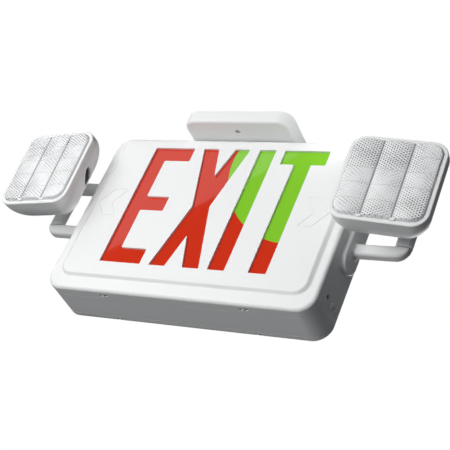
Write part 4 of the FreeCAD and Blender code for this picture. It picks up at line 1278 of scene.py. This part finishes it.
@dataclass
class LampHead:
    """One adjustable lamp head: shell, rim, lens, reflector, board and tilt pin."""

    paints: Paints
    side: Side
    size: float = 95.0 * MM
    corner: float = 16.0 * MM
    rim_depth: float = 8.0 * MM
    rim_wall: float = 2.0 * MM
    rim_bend: float = 1.2 * MM
    lip: float = 2.1 * MM
    lip_thickness: float = 2.0 * MM
    lip_chamfer: float = 0.4 * MM
    clip: Point = (2.3 * MM, 2.8 * MM)
    shell_depth: float = 43.5 * MM
    shell_wall: float = 2.6 * MM
    shell_bands: int = 26
    dome_end: float = 0.9995
    cap_share: float = 0.6
    back_size: float = 28.0 * MM
    side_power: float = 1.5
    end_power: float = 2.15
    corner_share: float = 0.55
    spigot_gap: float = 0.2 * MM
    spigot_start: float = 5.4 * MM
    slot_half: float = 15 * MM
    slot_lead: float = 6 * MM
    ear_gap: float = 5.35 * MM
    ear_thickness: float = 3.2 * MM
    ear_radius: float = 5.4 * MM
    window_reach: Point = (9.6 * MM, 6.4 * MM)
    window_middle: Point = (19.5 * MM, 1.5 * MM)
    window_lean: float = -53
    window_span: Point = (-50 * MM, -33 * MM)
    lens_lap: float = 0.8 * MM
    lens_wall: float = 1.6 * MM
    lens_setback: float = 0.6 * MM
    pivot_depth: float = 38.5 * MM
    tilt: float = 2.8

    def _stand(self) -> Matrix:
        """Matrix from the head's own axes to its place in the frame, at rest.

        Returns:
            The matrix; the head's own origin is the lens centre and its depth runs along +Y.
        """
        joint = next(j for j in frame["joints"] if j["name"] == "head_tilt_right")
        axis = joint["axis"]
        pan = Matrix.Rotation(math.atan2(axis[1], axis[0]), 4, "Z")
        turn = pan @ Matrix.Rotation(math.radians(self.tilt), 4, "X")
        back = Matrix.Translation(Vector((0, -self.pivot_depth, 0)))
        return self.side.flip() @ Matrix.Translation(Vector(joint["pos_m"])) @ turn @ back

    def _dome_loop(self, share: float, inset: float) -> Loop:
        """Loop of the shell's dome.

        Args:
            share: Share of the dome's depth.
            inset: Distance in from the outer skin.

        Returns:
            The loop.
        """
        back = self.back_size / 2
        half = self.size / 2
        side, end = [back + (half - back) * (1 - share ** power) ** (1 / power)
                     for power in (self.side_power, self.end_power)]
        corner = self.corner * (self.corner_share + (1 - self.corner_share) * side / half)
        y = self.rim_depth + (self.shell_depth - self.rim_depth - inset) * share
        return rounded_loop(2 * (side - inset), 2 * (end - inset), corner - inset, y)

    def _ears(self) -> List[Mesh]:
        """Tilt ears on both sides of the rear slot.

        Returns:
            A drum and a root for each ear.
        """
        ears = []
        for sign in (-1, 1):
            near, far = sorted((sign * self.ear_gap, sign * (self.ear_gap + self.ear_thickness)))
            ends = [Vector((x, self.pivot_depth, 0)) for x in (near, far)]
            ears.append(drum(self.ear_radius, *ends))
            ears.append(box((near, self.pivot_depth, -self.ear_radius),
                            (far, self.shell_depth - MM, self.ear_radius)))
        return ears

    def _window(self) -> Mesh:
        """Cutter for the leaning oval window in the shell's side.

        Returns:
            The cutter.
        """
        lean = math.radians(self.window_lean)
        leaf = []
        for step in range(24):
            angle = 2 * math.pi * step / 24
            along = self.window_reach[0] * math.cos(angle)
            across = self.window_reach[1] * math.sin(angle)
            leaf.append((self.window_middle[0] + along * math.sin(lean) + across * math.cos(lean),
                         self.window_middle[1] + along * math.cos(lean) - across * math.sin(lean)))
        return loft([[Vector((x, y, z)) for y, z in leaf] for x in self.window_span])

    def _shell(self) -> Piece:
        """Smooth domed shell with its rear slot and two tilt ears.

        Returns:
            The shell on the head's own axes.
        """
        bands = range(self.shell_bands)
        shares = [math.sin(math.pi / 2 * band / self.shell_bands) for band in bands] + [self.dome_end]
        outer = [self._dome_loop(share, 0.0) for share in shares]
        cap = self.cap_share
        outer.append([Vector((point.x * cap, self.shell_depth, point.z * cap)) for point in outer[-1]])
        inner = [self._dome_loop(share, self.shell_wall) for share in shares]
        corner = self.corner - self.rim_wall
        spigot = self.size - 2 * (self.rim_wall + self.spigot_gap)
        neck = [square_loop(spigot, corner, self.rim_depth), square_loop(spigot, corner, self.spigot_start),
                square_loop(spigot - 2 * self.shell_wall, corner - self.shell_wall, self.spigot_start)]
        piece = as_object(self.side.node("head_shell"), loft(list(reversed(outer)) + neck + inner))
        slot = box((-self.ear_gap, self.pivot_depth - self.slot_lead, -self.slot_half),
                   (self.ear_gap, self.shell_depth + MM, self.slot_half))
        return combine(combine(piece, self._ears(), "UNION"), [slot, self._window()])

    def _rim(self) -> Piece:
        """Square bezel with soft edges and two clips under the lens.

        Returns:
            The rim on the head's own axes.
        """
        window = self.size - 2 * (self.rim_wall + self.lip)
        pocket = self.size - 2 * self.rim_wall
        corner = self.corner - self.rim_wall
        inner = corner - self.lip
        loops = [square_loop(self.size, self.corner, self.rim_depth)]
        for drawn, left in quarter(5):
            draw = self.rim_bend * drawn
            loops.append(square_loop(self.size - 2 * draw, self.corner - draw, self.rim_bend * left))
        loops += [square_loop(window + 2 * self.lip_chamfer, inner + self.lip_chamfer, 0.0),
                  square_loop(window, inner, self.lip_chamfer), square_loop(window, inner, self.lip_thickness),
                  square_loop(pocket, corner, self.lip_thickness), square_loop(pocket, corner, self.rim_depth)]
        half, tall = self.clip
        foot = -window / 2 - 0.9 * MM
        clips = [box((x - half, -1.5 * MM, foot), (x + half, MM, foot + tall))
                 for x in (-self.size / 6, self.size / 6)]
        return as_object(self.side.node("head_rim"), joined("rim", [loft(loops, closed=True)] + clips))

    def _lens(self) -> Piece:
        """Prismatic lens from its node tree, given a wall and stood upright.

        Returns:
            The lens on the head's own axes.
        """
        inset = self.rim_wall + self.lip - self.lens_lap
        size = self.size - 2 * inset
        carrier = as_object(self.side.node("head_lens"), bpy.data.meshes.new("lens"))
        tree = LensTree(size, self.corner - inset, self.paints.lens).build()
        modifier = carrier.modifiers.new("lens", "NODES")
        modifier.node_group = tree
        for item in tree.interface.items_tree:
            if item.in_out == "INPUT" and item.name == "Size":
                modifier[item.identifier] = size
        bake(carrier)
        wall = carrier.modifiers.new("wall", "SOLIDIFY")
        wall.thickness = self.lens_wall
        wall.offset = -1.0
        bake(carrier)
        place = Matrix.Translation(Vector((0, self.lip_thickness + self.lens_setback, 0)))
        carrier.data.transform(place @ Matrix.Rotation(math.radians(90), 4, "X"))
        return carrier

    def build(self) -> None:
        """Build and dress the head."""
        body = self.side.node("head")
        paints = self.paints
        for piece, material, slot, node, angle in ((self._shell(), paints.white, "white", "lamp_shell", 32.0),
                                                   (self._rim(), paints.white, "white", "lamp_rim", 32.0),
                                                   (self._lens(), paints.lens, "lens", "lamp_lens", 60.0)):
            self.side.stand(piece, self._stand())
            finish_piece(piece, material, body, self.side.node(node), angle)
        paint_nodes(paints.mirror, self.side.node("lamp_reflector"))
        paint_nodes(paints.board, self.side.node("lamp_board"))
        paint_nodes(paints.steel, self.side.node("tilt_pin"))


# ---------------------------------------------------------------- studio
@dataclass(frozen=True)
class SoftLight:
    """Square soft light: its place, side length and power in watts, and whether gloss mirrors it."""

    name: str
    place: Tuple[float, float, float]
    size: float
    power: float
    mirrored: bool = False

    def build(self, aim: Vector) -> None:
        """Add the light, turned towards a point.

        Args:
            aim: The point.
        """
        data = bpy.data.lights.new(self.name, "AREA")
        data.size = self.size
        data.energy = self.power
        light = bpy.data.objects.new(self.name, data)
        place = Vector(self.place)
        turn = (aim - place).to_track_quat("-Z", "Y").to_matrix().to_4x4()
        light.matrix_world = Matrix.Translation(place) @ turn
        light.visible_camera = False
        light.visible_glossy = self.mirrored
        bpy.context.scene.collection.objects.link(light)


@dataclass
class Studio:
    """Camera, pale floor, white backdrop and soft light."""

    station: Tuple[float, float, float] = (0.61889, -0.82652, -0.73085)
    aim: Tuple[float, float, float] = (0.02821, -0.02725, -0.13055)
    roll: float = -24.315
    field_of_view: float = 21.4558
    floor_level: float = -1.7
    floor_size: float = 14.0
    floor_glow: float = 1.0
    world_strength: float = 0.075
    key: SoftLight = SoftLight("key", (-0.72, -1.2, 0.1), 0.6, 6.4, True)
    low: SoftLight = SoftLight("low", (-0.22, -1.38, -0.62), 0.5, 11.6)
    front: SoftLight = SoftLight("front", (0.3, -1.6, 0.0), 0.5, 2.9)
    canopy: SoftLight = SoftLight("canopy", (0.13, -0.04, 0.0), 0.05, 0.032)
    canopy_aim: Tuple[float, float, float] = (0.0, 0.0, -0.012)
    under: SoftLight = SoftLight("under", (-0.35, -0.3, -1.5), 1.2, 1.3)
    rear: SoftLight = SoftLight("rear", (-0.2, 1.9, 0.2), 1.4, 18.0, True)
    card_distance: float = 1.9
    card_length: float = 1.8
    card_width: float = 1.1
    card_glow: float = 1.0
    gloss_level: float = -0.025
    gloss_edge: Tuple[Point, Point] = ((-0.0974, -0.1721), (0.077, -0.0333))

    def _camera(self) -> None:
        """Create the camera and make it the scene's own."""
        data = bpy.data.cameras.new("camera")
        data.sensor_width = 36.0
        data.lens = data.sensor_width / 2 / math.tan(math.radians(self.field_of_view / 2))
        camera = bpy.data.objects.new("camera", data)
        forward = (Vector(self.aim) - Vector(self.station)).normalized()
        level = forward.cross(Vector((0, 0, 1))).normalized()
        raised = level.cross(forward)
        angle = math.radians(self.roll)
        up = raised * math.cos(angle) + level * math.sin(angle)
        right = forward.cross(up)
        turn = Matrix((right, up, -forward)).transposed().to_4x4()
        camera.matrix_world = Matrix.Translation(Vector(self.station)) @ turn
        bpy.context.scene.collection.objects.link(camera)
        bpy.context.scene.camera = camera

    def _floor(self) -> None:
        """Add the pale floor, which neither lights the part nor shows in its gloss."""
        paint = Moulded("studio_floor", (0.72, 0.72, 0.72), 0.6).make()
        bsdf = paint.node_tree.nodes["Principled BSDF"]
        bsdf.inputs["Emission Color"].default_value = (1, 1, 1, 1)
        bsdf.inputs["Emission Strength"].default_value = self.floor_glow
        half = self.floor_size / 2
        signs = ((-1, -1), (1, -1), (1, 1), (-1, 1))
        corners = [(x * half, y * half, self.floor_level) for x, y in signs]
        mesh = bpy.data.meshes.new("floor")
        mesh.from_pydata(corners, [], [(0, 1, 2, 3)])
        mesh.materials.append(paint)
        sheet = as_object("floor", mesh)
        sheet.visible_diffuse = False
        sheet.visible_glossy = False

    def _gloss_card(self) -> None:
        """Large soft panel whose lower edge is mirrored aslant across the legend."""
        ends = []
        for x, z in self.gloss_edge:
            spot = Vector((x, self.gloss_level, z))
            ray = (spot - Vector(self.station)).normalized()
            ends.append(spot + Vector((ray.x, -ray.y, ray.z)) * self.card_distance)
        middle = (ends[0] + ends[1]) / 2
        facing = (Vector(self.aim) - middle).normalized()
        along = (ends[1] - ends[0]).normalized()
        inward = along.cross(facing).normalized()
        if inward.x > 0:
            inward = -inward
        facing = inward.cross(along).normalized()
        if facing.dot(Vector(self.aim) - middle) < 0:
            along = -along
            facing = -facing
        data = bpy.data.lights.new("gloss_card", "AREA")
        data.shape = "RECTANGLE"
        data.size = self.card_length
        data.size_y = self.card_width
        data.energy = self.card_glow * math.pi * self.card_length * self.card_width
        card = bpy.data.objects.new("gloss_card", data)
        turn = Matrix((along, (-facing).cross(along), -facing)).transposed().to_4x4()
        card.matrix_world = Matrix.Translation(middle + inward * self.card_width / 2) @ turn
        card.visible_camera = False
        bpy.context.scene.collection.objects.link(card)

    def _world(self) -> None:
        """Dim even light for the part, plain white where the backdrop is seen."""
        world = bpy.data.worlds.new("studio")
        world.use_nodes = True
        tree = world.node_tree
        dim = tree.nodes["Background"]
        dim.inputs["Color"].default_value = (0.92, 0.95, 1.0, 1.0)
        dim.inputs["Strength"].default_value = self.world_strength
        white = tree.nodes.new("ShaderNodeBackground")
        white.inputs["Color"].default_value = (1.0, 1.0, 1.0, 1.0)
        mix = tree.nodes.new("ShaderNodeMixShader")
        seen = tree.nodes.new("ShaderNodeLightPath").outputs["Is Camera Ray"]
        for socket, value in zip(mix.inputs, (seen, dim.outputs[0], white.outputs[0])):
            tree.links.new(value, socket)
        tree.links.new(mix.outputs[0], tree.nodes["World Output"].inputs[0])
        bpy.context.scene.world = world
        bpy.context.scene.view_settings.view_transform = "Standard"

    def build(self) -> None:
        """Build the studio."""
        self._camera()
        self._world()
        self._floor()
        for light in (self.key, self.low, self.front):
            light.build(Vector(self.aim))
        self.canopy.build(Vector(self.canopy_aim))
        for light in (self.under, self.rear):
            light.build(Vector(self.aim))
        self._gloss_card()


def main() -> None:
    """Build and dress the light, then set the studio."""
    logging.basicConfig(level=logging.INFO, format="%(message)s")
    paints = Paints()
    Housing(paints).build()
    Canopy(paints).build()
    Controls(paints).build()
    for side in Side:
        Fork(paints, side).build()
        LampHead(paints, side).build()
    Studio().build()


if __name__ == "__main__":
    main()
